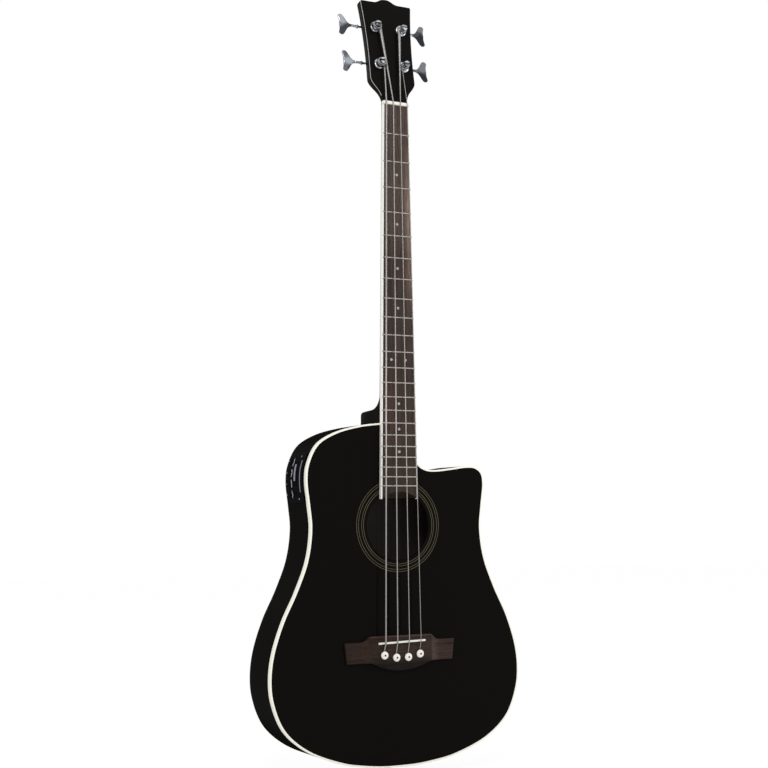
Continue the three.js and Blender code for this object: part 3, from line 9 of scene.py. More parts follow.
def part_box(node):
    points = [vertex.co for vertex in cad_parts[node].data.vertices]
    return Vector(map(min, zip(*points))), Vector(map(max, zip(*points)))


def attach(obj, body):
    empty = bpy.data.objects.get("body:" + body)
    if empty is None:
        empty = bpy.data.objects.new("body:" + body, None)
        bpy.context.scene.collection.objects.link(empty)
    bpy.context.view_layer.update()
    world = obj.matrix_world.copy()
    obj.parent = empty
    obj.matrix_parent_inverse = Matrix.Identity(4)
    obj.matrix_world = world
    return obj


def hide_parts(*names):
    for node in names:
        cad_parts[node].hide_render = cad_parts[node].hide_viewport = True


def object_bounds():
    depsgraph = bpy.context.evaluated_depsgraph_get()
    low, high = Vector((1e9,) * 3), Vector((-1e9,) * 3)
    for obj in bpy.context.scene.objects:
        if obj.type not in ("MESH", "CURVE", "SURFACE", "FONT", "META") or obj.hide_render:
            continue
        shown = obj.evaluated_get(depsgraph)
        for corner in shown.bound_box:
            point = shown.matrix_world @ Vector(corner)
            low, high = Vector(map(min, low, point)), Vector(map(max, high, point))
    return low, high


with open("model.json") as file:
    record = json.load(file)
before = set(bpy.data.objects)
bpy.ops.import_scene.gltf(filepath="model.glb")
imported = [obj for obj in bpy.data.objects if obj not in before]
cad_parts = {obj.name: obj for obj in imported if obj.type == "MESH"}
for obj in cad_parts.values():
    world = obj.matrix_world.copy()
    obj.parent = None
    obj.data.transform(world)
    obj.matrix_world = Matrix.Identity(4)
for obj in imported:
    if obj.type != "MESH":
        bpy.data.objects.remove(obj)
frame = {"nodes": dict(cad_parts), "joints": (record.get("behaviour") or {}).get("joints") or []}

bl_info = {
    "name": "Acoustic bass guitar looks",
    "version": (1, 0, 0),
    "blender": (4, 5, 0),
    "location": "View3D > Sidebar > Bass",
    "description": "Dresses the packed acoustic bass guitar with finer surfaces, materials, light and camera",
    "category": "Object",
}

MM = 0.001
CAD_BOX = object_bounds()
STRINGS = ("e", "a", "d", "g")
RIGHT_ANGLE = np.pi / 2

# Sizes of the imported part, in metres, which the finer surfaces follow
CLEARANCE = 0.3 * MM
SCALE = 813 * MM
FRETS = 22
BODY_FRET = 16
HALF_WIDTH = 208.22 * MM
BODY_LENGTH = 510 * MM
SOUNDHOLE_RADIUS = 52 * MM
BOARD_ARC = 50 * MM
CUTAWAY_DEPTH = 69.9 * MM
BINDING_WIDTH = 2.6 * MM
BINDING_DEPTH = 7.5 * MM
TOP_THICKNESS = 3.2 * MM
BACK_THICKNESS = 3 * MM
RIB_THICKNESS = 2.4 * MM
BOARD_HEIGHT = 6.5 * MM
BOARD_STRIP = 2.1 * MM
FRET_HEIGHT = 1.2 * MM
NUT_LENGTH = 43.6 * MM
NUT_WIDTH = 5.5 * MM
NUT_HEIGHT = 9 * MM
NUT_SPACING = 12 * MM
STRING_SEAT = 9.6 * MM
SADDLE_Z = -SCALE - 3.5 * MM
SADDLE_SLOPE = np.tan(np.radians(1.7))
SADDLE_TOP = 12.6 * MM
SADDLE_CROWN = 13.44 * MM
PIN_SPACING = 19.8 * MM
BRIDGE_HEIGHT = 9 * MM
BRIDGE_LENGTH = 52 * MM
WING_HEIGHT = 5 * MM
HEAD_TILT = np.radians(10)
HEAD_LIFT = 4 * MM
HEAD_THICKNESS = 15 * MM
HEAD_LENGTH = 174.5 * MM
POST_PLACES = {
    "e": (-20.9 * MM, 0.388 * HEAD_LENGTH, -1),
    "a": (-22.3 * MM, 0.745 * HEAD_LENGTH, -1),
    "d": (22.3 * MM, 0.745 * HEAD_LENGTH, 1),
    "g": (20.9 * MM, 0.388 * HEAD_LENGTH, 1),
}
GEAR_TEETH = 20
GEAR_FRONT = -17.9 * MM
GEAR_BACK = -22.1 * MM
GEAR_MIDDLE = -20 * MM
WORM_OFFSET = 8.5 * MM
GEAR_RADIUS = 5.9 * MM
KEY_HEIGHT = 71.6 * MM
KEY_SPACING = 61.4 * MM
POST_RADIUS = 5 * MM
POST_WAIST = 4.2 * MM
POST_TOP = 15 * MM
SLOT_FLOOR = 9.4 * MM
STRING_RADII = (1.27 * MM, 1.02 * MM, 0.8 * MM, 0.6 * MM)
WINDINGS = (3, 2, 2, 3)
PANEL_FACE = 2.25 * MM

# Outline of the bass side, from the tail to the neck: shares of half the width and of the length
BASS_SHARES = np.array([
    [0, 0], [0.13, 0.0012], [0.28, 0.0075], [0.446, 0.0202], [0.725, 0.0653], [0.898, 0.126],
    [0.984, 0.2075], [1, 0.27], [0.979, 0.339], [0.907, 0.427], [0.804, 0.513], [0.72, 0.602],
    [0.69, 0.6915], [0.706, 0.76], [0.725, 0.828], [0.7125, 0.875], [0.6385, 0.934], [0.499, 0.969],
    [0.295, 0.992],
])

# Horn and cutaway: shares of the width beyond the neck and of the cutaway's depth
CUTAWAY_SHARES = np.array([
    [0.678, 1.2695], [0.66, 1.0543], [0.596, 0.9266], [0.5087, 0.9084], [0.349, 0.9594],
    [0.192, 1], [0.114, 0.985], [0.05, 0.9047], [0.012, 0.7807], [0, 0.6202],
])
SHARED_POINTS = 14

# Tinted parts of the wood: a tint, and the slopes in millimetres at which the part begins and ends. On the
# board:
# dark middle, darker end, a painted sheen along the treble edge, dark lower part and redder bass side. On the
# bridge
# all is painted light and shade: shade on the belly and the bass side, highlights on the treble wing, on the
# facets and along the top edge.
BOARD_TONES_AND_SHEEN = (
    ((0.64, 0.61, 0.6), ("Z", -190, -240), ("Z", -440, -400)),
    ((0.55, 0.53, 0.5), ("Z", -505, -545)),
    # painted sheen: the treble edge of the board lighter
    ((2.9, 2.85, 2.75), ("X", 11, 19), ("Z", -60, -150), ("Z", -330, -260)),
    ((0.63, 0.59, 0.59), ("Z", -380, -430), ("Z", -545, -505)),
    ((1.25, 1.1, 1.05), ("X", -4, -14), ("Z", -400, -450), ("Z", -540, -500)),
)
BRIDGE_PAINTED_LIGHT = (
    # every bridge tint is painted light and shade: dark belly and bass side, light treble wing, facets and
    # top edge
    ((0.22, 0.22, 0.22), ("Z", -837, -849), ("X", -56, -44), ("X", 56, 44)),
    ((0.74, 0.68, 0.64), ("X", -20, -34)),
    ((1.15, 1.06, 1.1), ("X", 58, 66)),
    ((1.2, 1.14, 1.05), ("X", -49, -52), ("X", -65, -60)),
    ((1.9, 2.0, 2.2), ("X", 50, 53), ("X", 66, 56)),
    ((1.9, 2.0, 2.2), ("Z", -809.4, -808.3)),
)


# Shapes as whole arrays

def fret_z(fret):
    """Height of a fret: each one shortens the string by the twelfth root of two."""
    return -SCALE * (1 - 2 ** (-fret / 12))


BODY_TOP = fret_z(BODY_FRET)
BODY_BOTTOM = BODY_TOP - BODY_LENGTH
SOUNDHOLE_Z = fret_z(FRETS) - 59 * MM
BOARD_END = SOUNDHOLE_Z + BOARD_ARC


def board_half(z):
    """Half of the fingerboard's width: it grows evenly from the nut to the board's end."""
    return NUT_LENGTH / 2 + (z / BOARD_END) * 9.1 * MM


NECK_HALF = board_half(BODY_TOP)


def grid(x, y, z):
    """Places from three arrays that are spread to one shape."""
    return np.stack(np.broadcast_arrays(x, y, z), -1)


def at_depth(flat, depth):
    """Places whose X and Z are a flat figure's two numbers, and whose Y is a depth."""
    return grid(flat[..., 0], depth, flat[..., 1])


def around(sides):
    """Angles of a full turn in equal steps."""
    return 2 * np.pi * np.arange(sides) / sides


def quarter(radius, steps):
    """A quarter circle from its side to its top: r (1 - sin a) inward and r (1 - cos a) down."""
    angle = np.linspace(0, RIGHT_ANGLE, steps)
    return radius * (1 - np.sin(angle)), radius * (1 - np.cos(angle))


def unit(vectors):
    """The same directions with a length of one."""
    return vectors / np.linalg.norm(vectors, axis=-1, keepdims=True)


def run_along(points):
    """Distance along a line at each of its points."""
    return np.concatenate([[0], np.cumsum(np.linalg.norm(np.diff(points, axis=0), axis=1))])


def smooth_curve(knots, per_span=40):
    """A smooth curve through its points: cubics, slopes weighed by the square root of each span's length."""
    knots = np.asarray(knots, float)
    ends = np.vstack([2 * knots[0] - knots[1], knots, 2 * knots[-1] - knots[-2]])
    p0, p1, p2, p3 = ends[:-3], ends[1:-2], ends[2:-1], ends[3:]
    d0, d1, d2 = (np.sqrt(np.linalg.norm(b - a, axis=1))[:, None] for a, b in ((p0, p1), (p1, p2), (p2, p3)))
    slope1 = ((p1 - p0) / d0 - (p2 - p0) / (d0 + d1) + (p2 - p1) / d1) * d1
    slope2 = ((p2 - p1) / d1 - (p3 - p1) / (d1 + d2) + (p3 - p2) / d2) * d1
    t = np.linspace(0, 1, per_span, endpoint=False)[None, :, None]
    second = (-3 * p1 + 3 * p2 - 2 * slope1 - slope2)[:, None]
    third = (2 * p1 - 2 * p2 + slope1 + slope2)[:, None]
    curve = p1[:, None] + slope1[:, None] * t + second * t**2 + third * t**3
    return np.vstack([curve.reshape(-1, knots.shape[1]), knots[-1]])


def evenly(points, count):
    """The same line with so many points at equal distances along it."""
    run = run_along(points)
    at = np.linspace(0, run[-1], count)
    return np.stack([np.interp(at, run, column) for column in points.T], -1)


def bezier(points, count):
    """A quadratic or cubic curve: the blend of its control points by powers of t and 1 - t."""
    t = np.linspace(0, 1, count)[:, None]
    p = np.asarray(points, float)
    if len(p) == 3:
        return (1 - t) ** 2 * p[0] + 2 * t * (1 - t) * p[1] + t**2 * p[2]
    return (1 - t) ** 3 * p[0] + 3 * t * (1 - t) ** 2 * p[1] + 3 * t**2 * (1 - t) * p[2] + t**3 * p[3]


def monotone(at, values, where):
    """Cubic pieces whose slopes are the harmonic mean of the neighbouring ones, so nothing bulges."""
    step = np.diff(at)
    secant = np.diff(values) / step
    product = secant[:-1] * secant[1:]
    inner = np.where(product > 0, 2 * product / np.where(product > 0, secant[:-1] + secant[1:], 1), 0)
    slope = np.concatenate([secant[:1], inner, secant[-1:]])
    k = np.clip(np.searchsorted(at, where) - 1, 0, len(step) - 1)
    t = (where - at[k]) / step[k]
    first = (1 + 2 * t) * (1 - t) ** 2 * values[k] + t * (1 - t) ** 2 * step[k] * slope[k]
    second = t**2 * (3 - 2 * t) * values[k + 1] + t**2 * (t - 1) * step[k] * slope[k + 1]
    return first + second


def bass_side(count=180):
    """The bass half of the outline, from the tail's middle to the neck, with positive X."""
    knots = BASS_SHARES * [HALF_WIDTH, BODY_LENGTH] + [0, BODY_BOTTOM]
    return evenly(smooth_curve(np.vstack([knots, [NECK_HALF, BODY_TOP]])), count)


def treble_side(count=200):
    """The treble half: the bass half up to the waist, then the horn and the cutaway up to the neck."""
    shared = BASS_SHARES[:SHARED_POINTS] * [HALF_WIDTH, BODY_LENGTH] + [0, BODY_BOTTOM]
    horn = CUTAWAY_SHARES * [HALF_WIDTH - NECK_HALF, -CUTAWAY_DEPTH] + [NECK_HALF, BODY_TOP]
    return np.vstack([evenly(smooth_curve(np.vstack([shared, horn])), count), [NECK_HALF, BODY_TOP]])


def body_outline():
    """The closed outline, from the tail up the treble side and down the bass side."""
    bass = bass_side() * [-1, 1]
    return np.vstack([treble_side(), bass[:0:-1]])


def inset(outline, distance):
    """A closed outline moved inward: each point goes along the mitre of its two neighbouring sides."""
    one = unit(outline - np.roll(outline, 1, axis=0))[:, ::-1] * [-1, 1]
    two = unit(np.roll(outline, -1, axis=0) - outline)[:, ::-1] * [-1, 1]
    return outline + (one + two) / (1 + np.sum(one * two, axis=1, keepdims=True)) * distance


def shrunk(line, centre, shares):
    """Copies of a closed line, drawn toward a centre by each share."""
    return centre + np.asarray(shares)[:, None, None] * (line - centre)


def back_face(flat):
    """Depth of the back's face: 74 mm at the neck, 81 mm at the tail, and a parabola of 5 mm across."""
    x, z = flat[..., 0], flat[..., 1]
    return 74 * MM + (BODY_TOP - z) / BODY_LENGTH * 7 * MM + 5 * MM * (1 - (x / HALF_WIDTH) ** 2)


def softened(points, reach, steps=5):
    """An open line whose corners become parabolas that leave each side at the reach, or at 45% of it."""
    points = np.asarray(points, float)
    corner = points[1:-1]
    reach = np.broadcast_to(reach, len(corner))[:, None]
    start, end = (
        corner + side * np.minimum(reach / np.linalg.norm(side, axis=1, keepdims=True), 0.45)
        for side in (points[:-2] - corner, points[2:] - corner)
    )
    t = np.linspace(0, 1, steps + 1)[None, :, None]
    curve = (1 - t) ** 2 * start[:, None] + 2 * t * (1 - t) * corner[:, None] + t**2 * end[:, None]
    return np.vstack([points[:1], curve.reshape(-1, points.shape[1]), points[-1:]])


def turned(profile, sides=48):
    """Rings of a profile of radius and height pairs turned about Z: x = r cos, y = r sin, z = height."""
    profile = np.asarray(profile, float)
    turn, radius = around(sides), profile[:, :1]
    return grid(radius * np.cos(turn), radius * np.sin(turn), profile[:, 1:])


def skin(rings, wrap=False):
    """A closed surface over rings (R, N, 3): quads between neighbours and a fan to each end's middle.
    Where wrap is true the last ring joins the first instead."""
    rows, count = rings.shape[:2]
    ids = np.arange(rows * count).reshape(rows, count)
    side = np.roll(ids, -1, axis=1)
    last = rows if wrap else rows - 1
    above, above_side = np.roll(ids, -1, axis=0)[:last], np.roll(side, -1, axis=0)[:last]
    quads = np.stack([ids[:last], side[:last], above_side, above], -1).reshape(-1, 4)
    points = rings.reshape(-1, 3)
    if wrap:
        return facing_out(points, [quads])
    low = grid(side[0], ids[0], rows * count)
    high = grid(ids[-1], side[-1], rows * count + 1)
    return facing_out(np.vstack([points, rings[[0, -1]].mean(axis=1)]), [quads, low, high])


def walled(outer, inner, keep=None):
    """A closed wall between two grids (S, V, 3): a quad on both sides of each kept cell, and one across
    wherever a kept cell meets a dropped one or the border."""
    rows, columns = outer.shape[:2]
    if keep is None:
        keep = np.ones((rows - 1, columns - 1), bool)
    shift = rows * columns
    ids = np.arange(shift).reshape(rows, columns)
    a, b, c, d = ids[:-1, :-1], ids[1:, :-1], ids[1:, 1:], ids[:-1, 1:]
    faces = [np.stack([a, b, c, d], -1)[keep], np.stack([d, c, b, a], -1)[keep] + shift]
    near = np.pad(keep, 1)
    sides = ((a, b, near[1:-1, :-2]), (b, c, near[2:, 1:-1]), (c, d, near[1:-1, 2:]), (d, a, near[:-2, 1:-1]))
    for one, two, kept in sides:
        faces.append(np.stack([two, one, one + shift, two + shift], -1)[keep & ~kept])
    return facing_out(np.vstack([outer.reshape(-1, 3), inner.reshape(-1, 3)]), faces)


def block(x, top, z, foot=-CLEARANCE):
    """A closed wall between an upper surface and a level foot under the same places."""
    return walled(grid(x, top, z), grid(x, foot, z))

def facing_out(points, faces):
    """The same shell with its faces turned out: the sum of the corners' triple products is its volume."""
    volume = 0.0
    for face in faces:
        for k in range(1, face.shape[1] - 1):
            cross = np.cross(points[face[:, k]], points[face[:, k + 1]])
            volume += np.einsum("ij,ij->", points[face[:, 0]], cross)
    return points, faces if volume >= 0 else [face[:, ::-1] for face in faces]


def tube(path, radii, reference, sides=14):
    """A circle carried along a path: its plane holds the path's cross product with a reference."""
    path = np.asarray(path, float)
    steps = unit(np.diff(path, axis=0))
    along = unit(np.vstack([steps[:1], steps[:-1] + steps[1:], steps[-1:]]))
    across = unit(np.cross(along, reference))
    turn = around(sides)[:, None]
    circle = across[:, None] * np.cos(turn) + np.cross(along, across)[:, None] * np.sin(turn)
    return path[:, None] + np.broadcast_to(radii, len(path))[:, None, None] * circle


def plate(outline, front, back, radius, shares, steps):
    """Rings of a plate in X and Z about the origin: from the front's middle out to the edge, round it in a
    quarter circle, down the side, round again, and back to the middle behind."""
    inward, drop = quarter(radius, steps)
    faces = [*shrunk(inset(outline, radius), np.zeros(2), shares)]
    edge = [inset(outline, distance) for distance in inward]
    flat = np.array(faces + edge + edge[::-1] + faces[::-1])
    level = np.zeros(len(faces))
    depth = np.concatenate([front + level, front + drop, back - drop[::-1], back + level])
    return at_depth(flat, depth[:, None])


def rim(length, radius, steps=5, inner=20):
    """Distances from 0 to a length, close together within a radius of both ends: r (1 - cos a) there."""
    near = quarter(radius, steps)[1]
    length = np.asarray(length, float)[..., None]
    middle = radius + np.linspace(0, 1, inner)[1:-1] * (length - 2 * radius)
    return np.concatenate([near + 0 * length, middle, length - near[::-1]], -1)


def rim_drop(distance, length, radius):
    """How far a quarter circle of that radius has fallen at a distance from the nearer end of a length."""
    near = np.clip(radius - np.minimum(distance, length - distance), 0, radius)
    return radius - np.sqrt(radius**2 - near**2)


def rounded_rectangle(width, height, radius, count):
    """A closed rectangle about the origin with quarter circles for corners and evenly spaced points."""
    turn = np.linspace(0, RIGHT_ANGLE, 9)
    corners = [
        np.stack([sx * (width / 2 - radius) + radius * np.cos(turn + start),
                  sz * (height / 2 - radius) + radius * np.sin(turn + start)], -1)
        for sx, sz, start in ((1, 1, 0), (-1, 1, RIGHT_ANGLE), (-1, -1, np.pi), (1, -1, 3 * RIGHT_ANGLE))
    ]
    return evenly(np.vstack([*corners, corners[0][:1]]), count + 1)[:-1]


def screw_head(radius, height):
    """A domed head about Z with a straight slot: height is a parabola of the radius, less a smooth groove."""
    share = np.concatenate([[0.06], np.linspace(0.15, 0.95, 9), [1, 1]])[:, None]
    turn = around(40)
    x, y = radius * share * np.cos(turn), radius * share * np.sin(turn)
    groove = np.clip(1.6 - np.abs(y) / (0.24 * radius), 0, 1) * 0.45
    z = height * (1 - 0.55 * share**2 - groove * (share < 1))
    z[-1] = 0
    return skin(grid(x, y, z))


def moved(shell, turn=None, place=(0, 0, 0)):
    """A shell turned by a 3 by 3 matrix and moved to a place."""
    points, faces = shell
    points = points if turn is None else points @ turn.T
    return points + np.asarray(place, float), faces


def basis(out):
    """A turning matrix that takes Z to a direction."""
    out = unit(np.asarray(out, float))
    side = unit(np.cross([0, 1, 0] if abs(out[1]) < 0.9 else [0, 0, 1], out))
    return np.stack([side, np.cross(out, side), out], -1)


TO_FRONT = basis((0, -1, 0))
BACK_CENTRE = np.array([0, SOUNDHOLE_Z - SOUNDHOLE_RADIUS])
HEAD_UP = np.array([0, np.sin(HEAD_TILT), np.cos(HEAD_TILT)])
HEAD_OUT = np.array([0, -np.cos(HEAD_TILT), np.sin(HEAD_TILT)])
HEAD_TURN = np.stack([[1, 0, 0], -HEAD_OUT, HEAD_UP], -1)
TO_HEAD_OUT = np.stack([[1, 0, 0], -HEAD_UP, HEAD_OUT], -1)
TO_HEAD_BACK = TO_HEAD_OUT @ np.diag([1, -1, -1])


def on_head(across, up, out):
    """The place at a distance across the headstock, up its face and out of it."""
    return grid(across, up, out) @ np.array([[1, 0, 0], HEAD_UP, HEAD_OUT]) - [0, HEAD_LIFT, 0]


# Pieces and materials

def piece(name, shells, finishes, body="instrument", replaces=(), along=None):
    """A mesh object from closed shells, one material for each, which rides on a body."""
    points, loops, totals, indices = [], [], [], []
    offset = 0
    for number, (shell_points, faces) in enumerate(shells):
        used = np.unique(np.concatenate([face.ravel() for face in faces]))
        order = np.zeros(len(shell_points), int)
        order[used] = np.arange(len(used))
        points.append(shell_points[used])
        for face in faces:
            loops.append(order[face].ravel() + offset)
            totals.append(np.full(len(face), face.shape[1]))
            indices.append(np.full(len(face), min(number, len(finishes) - 1)))
        offset += len(used)
    points, loops, totals = np.vstack(points), np.concatenate(loops), np.concatenate(totals)
    mesh = bpy.data.meshes.new(name)
    mesh.vertices.add(len(points))
    mesh.vertices.foreach_set("co", points.astype(np.float32).ravel())
    mesh.loops.add(len(loops))
    mesh.loops.foreach_set("vertex_index", loops.astype(np.int32))
    mesh.polygons.add(len(totals))
    mesh.polygons.foreach_set("loop_start", (np.cumsum(totals) - totals).astype(np.int32))
    mesh.polygons.foreach_set("material_index", np.concatenate(indices).astype(np.int32))
    for finish in finishes:
        mesh.materials.append(finish)
    if along is not None:
        mesh.attributes.new("along", "FLOAT", "POINT").data.foreach_set("value", along.astype(np.float32))
    mesh.update(calc_edges=True)
    if mesh.validate():
        raise RuntimeError(f"the mesh of {name} has faces that had to be removed")
    mesh.shade_smooth()
    mesh.set_sharp_from_angle(angle=np.radians(38))
    made = bpy.data.objects.new(name, mesh)
    bpy.context.scene.collection.objects.link(made)
    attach(made, body)
    if replaces:
        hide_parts(*replaces)


def dress(finish, *names):
    """Gives CAD nodes that stay in sight their material."""
    for name in names:
        node = frame["nodes"][name]
        if not node.material_slots:
            node.data.materials.append(finish)
        for place in node.material_slots:
            place.material = finish


class Nodes:
    """A tree of nodes that are added step by step, each linked as it is made."""

    def __init__(self, owner):
        owner.use_nodes = True
        self.nodes, self.links = owner.node_tree.nodes, owner.node_tree.links

    def node(self, kind, settings=None, **inputs):
        """A node with its settings and inputs, by name or by underscore and number; a socket is linked."""
        made = self.nodes.new(kind)
        for key, value in (settings or {}).items():
            setattr(made, key, value)
        for key, value in inputs.items():
            target = made.inputs[int(key[1:]) if key.startswith("_") else key]
            if isinstance(value, bpy.types.NodeSocket):
                self.links.new(value, target)
            else:
                target.default_value = value
        return made

    def math(self, operation, one, two=0.0):
        """The result of an operation on one or two values."""
        return self.node("ShaderNodeMath", {"operation": operation}, _0=one, _1=two).outputs[0]

    def seen(self):
        """One for rays from the camera, from mirrors and through glass, and nothing for light."""
        rays = self.node("ShaderNodeLightPath").outputs
        either = self.math("MAXIMUM", rays["Is Camera Ray"], rays["Is Glossy Ray"])
        return self.math("MAXIMUM", either, rays["Is Transmission Ray"])

    def white(self, kind, strength):
        """White light of a strength."""
        return self.node(kind, Color=(1, 1, 1, 1), Strength=strength).outputs[0]


class Finish(Nodes):
    """A material round one Principled shader."""

    def __init__(self, name, colour, roughness, gloss=0.5, metallic=0.0):
        self.material = bpy.data.materials.new(name)
        super().__init__(self.material)
        self.shader = self.nodes["Principled BSDF"]
        sockets = {"Base Color": (*colour, 1), "Roughness": roughness, "Specular IOR Level": gloss}
        for key, value in {**sockets, "Metallic": metallic}.items():
            self.shader.inputs[key].default_value = value
        self.place = self.nodes.new("ShaderNodeTexCoord").outputs["Object"]

    def noise(self, scale, detail, roughness=0.55, distortion=0.0, stretch=(1, 1, 1)):
        """A cloud over object coordinates that are stretched on each axis."""
        place = self.node("ShaderNodeMapping", Vector=self.place, Scale=stretch).outputs["Vector"]
        shape = {"Scale": scale, "Detail": detail, "Roughness": roughness, "Distortion": distortion}
        return self.node("ShaderNodeTexNoise", Vector=place, **shape).outputs["Fac"]

    def ramp(self, factor, stops):
        """Colours between stops of position and colour."""
        made = self.node("ShaderNodeValToRGB", Fac=factor)
        elements = made.color_ramp.elements
        elements[0].position, elements[0].color = stops[0][0], (*stops[0][1], 1)
        elements[1].position, elements[1].color = stops[-1][0], (*stops[-1][1], 1)
        for position, colour in stops[1:-1]:
            elements.new(position).color = (*colour, 1)
        return made.outputs["Color"]

    def range(self, value, low, high, start=0.0, end=1.0):
        """From low to high as the value goes from start to end."""
        made = self.node("ShaderNodeMapRange", Value=value, _1=start, _2=end, _3=low, _4=high)
        return made.outputs["Result"]

    def axis(self, name):
        """One of the three object coordinates."""
        return self.node("ShaderNodeSeparateXYZ", Vector=self.place).outputs[name]

    def times(self, colour, tint, share):
        """A colour multiplied by a tint to a share."""
        settings = {"data_type": "RGBA", "blend_type": "MULTIPLY"}
        return self.node("ShaderNodeMix", settings, _0=share, _6=colour, _7=tint).outputs[2]

    def patch(self, colour, tint, *slopes):
        """The colour times a tint where every slope has risen: each rises between two places on an axis."""
        share = 1.0
        for axis, start, end in slopes:
            share = self.math("MULTIPLY", self.range(self.axis(axis), 0, 1, start * MM, end * MM), share)
        return self.times(colour, (*tint, 1), share)

    def set(self, socket, value):
        """Links a value to a socket of the shader."""
        self.links.new(value, self.shader.inputs[socket])

    def worn(self, factor, low, high, start, end):
        """Roughness that goes from low to high with the factor."""
        self.set("Roughness", self.range(factor, low, high, start, end))

    def bump(self, height, strength, distance=0.2 * MM):
        """Bumps by a height, and the material that is now finished."""
        made = self.node("ShaderNodeBump", Height=height, Strength=strength, Distance=distance)
        self.set("Normal", made.outputs["Normal"])
        return self.material


def tinted(colour, share):
    """A colour made lighter or darker by a share."""
    return tuple(min(max(channel * share, 0), 1) for channel in colour)


def shades(colour, *stops):
    """Stops of a ramp from pairs of a position and a share of the colour."""
    return [(position, tinted(colour, share)) for position, share in stops]

def lacquer(name, colour, gloss):
    """Gloss black lacquer: a slight cloud in its gloss, softer toward grazing sight, and a faint peel."""
    finish = Finish(name, colour, 0.08, gloss)
    cloud = finish.range(finish.noise(14, 3), 0.05, 0.12, 0.35, 0.65)
    facing = finish.node("ShaderNodeLayerWeight", Blend=0.5).outputs["Facing"]
    finish.set("Roughness", finish.math("ADD", cloud, finish.range(facing, 0, 0.85, 0.55, 0.9)))
    return finish.bump(finish.noise(420, 2), 0.04)


def ivory(name, colour, roughness=0.3):
    """Celluloid: cream with fine lengthwise streaks and a satin gloss."""
    finish = Finish(name, colour, roughness, 0.4)
    streak = finish.noise(1, 3, stretch=(900, 900, 12))
    finish.set("Base Color", finish.ramp(streak, shades(colour, (0.3, 0.9), (0.7, 1.04))))
    finish.worn(finish.noise(90, 3), roughness - 0.06, roughness + 0.1, 0.3, 0.7)
    return finish.bump(streak, 0.05)


def rosewood(name, colour, along, scale, tones_and_painted_light):
    """Oiled rosewood: long growth bands, narrow dark streaks and short open pores, all along one axis, and
    tints
    for parts of it: wood tones, and painted light and shade."""
    bands, pores = [70 * scale] * 3, [1500] * 3
    bands[along], pores[along] = 1.6 * scale, 45
    finish = Finish(name, colour, 0.5, 0.1)
    stops = shades(colour, (0.28, 0.55), (0.42, 0.85), (0.55, 1.1), (0.66, 0.8), (0.78, 1.45))
    wood = finish.ramp(finish.noise(1, 5, 0.6, 0.7, bands), stops)
    pore = finish.noise(1, 2, 0.5, stretch=pores)
    depth = finish.range(pore, 0.45, 1.0, 0.36, 0.47)
    wood = finish.times(wood, depth, 1.0)
    # tints that darken or lighten parts of the wood: on the bridge painted light and shade, on the board wood
    # tones and a painted sheen
    for tint, *slopes in tones_and_painted_light:
        wood = finish.patch(wood, tint, *slopes)
    finish.set("Base Color", wood)
    finish.worn(pore, 0.7, 0.44, 0.36, 0.6)
    return finish.bump(depth, 0.25)


def bare_wood(name, light, dark, along, ring=420.0):
    """Bare tonewood: straight year rings along one axis and a fine silk across them."""
    stretch = [ring] * 3
    stretch[along] = ring / 60
    finish = Finish(name, light, 0.65, 0.25)
    rings = finish.noise(1, 3, 0.5, 0.4, stretch)
    finish.set("Base Color", finish.ramp(rings, [(0.32, dark), (0.5, light), (0.7, tinted(light, 1.08))]))
    return finish.bump(rings, 0.2)


def polished(name, colour, roughness, cloud=60.0, painted_reflections=0.0, lobes=0.0):
    """Plated metal: a mirror with faint wiping marks in its gloss, and a painted reflection, a cloud of
    lighter and darker colour. On keys a sine wave of the height paints each upper lobe lighter, and the
    treble keys darker."""
    finish = Finish(name, colour, roughness, metallic=1.0)
    # painted reflection: a cloud of lighter and darker colour standing in for the studio seen in the plating
    if painted_reflections:
        shade = finish.noise(painted_reflections, 1, 0.4)
        # painted reflection on the keys: each upper lobe lighter than the lower one
        if lobes:
            height = finish.math("SUBTRACT", finish.axis("Z"), KEY_HEIGHT)
            wave = finish.math("SINE", finish.math("MULTIPLY", height, 2 * np.pi / KEY_SPACING))
            shade = finish.math("ADD", shade, finish.math("MULTIPLY", wave, lobes))
        shade = finish.ramp(shade, shades(colour, (0.38, 0.25), (0.5, 0.8), (0.62, 1.6)))
        # painted reflection on the keys: the treble-side keys darker
        if lobes:
            shade = finish.patch(shade, (0.5, 0.5, 0.5), ("X", 40, 50))
        finish.set("Base Color", shade)
    wipe = finish.noise(cloud, 4, stretch=(1, 1, 3))
    finish.worn(wipe, roughness * 0.6, roughness * 1.7, 0.3, 0.7)
    return finish.bump(wipe, 0.02)


def winding(colour, pitch):
    """Wound string: half a sine wave for each turn of the wrap wire; painted shade darkens its grooves and
    both ends.
    """
    finish = Finish("string_winding", colour, 0.34, metallic=1.0)
    along = finish.node("ShaderNodeAttribute", {"attribute_name": "along"}).outputs["Fac"]
    ridge = finish.math("ABSOLUTE", finish.math("SINE", finish.math("MULTIPLY", along, np.pi / pitch)))
    # darker in the grooves between turns: painted shade
    shade = finish.ramp(finish.range(ridge, 0.55, 1.0), shades(colour, (0.55, 0.85), (1, 1)))
    # painted shade along the string: darker on the upper run and on the headstock, and near the bridge
    shade = finish.patch(shade, (0.6, 0.61, 0.62), ("Z", -480, -300))
    finish.set("Base Color", finish.patch(shade, (0.7, 0.71, 0.72), ("Z", -540, -620)))
    return finish.bump(ridge, 0.25, pitch * 0.3)


def moulded(name, colour, roughness=0.42, grain=900.0):
    """Moulded plastic: an even colour with a fine grain in its surface and its gloss."""
    finish = Finish(name, colour, roughness, 0.003)
    finish.set("Base Color", finish.ramp(finish.noise(40, 3), shades(colour, (0.35, 0.9), (0.65, 1.1))))
    fine = finish.noise(grain, 2)
    finish.worn(fine, roughness - 0.07, roughness + 0.09, 0.3, 0.7)
    return finish.bump(fine, 0.12, 0.1 * MM)


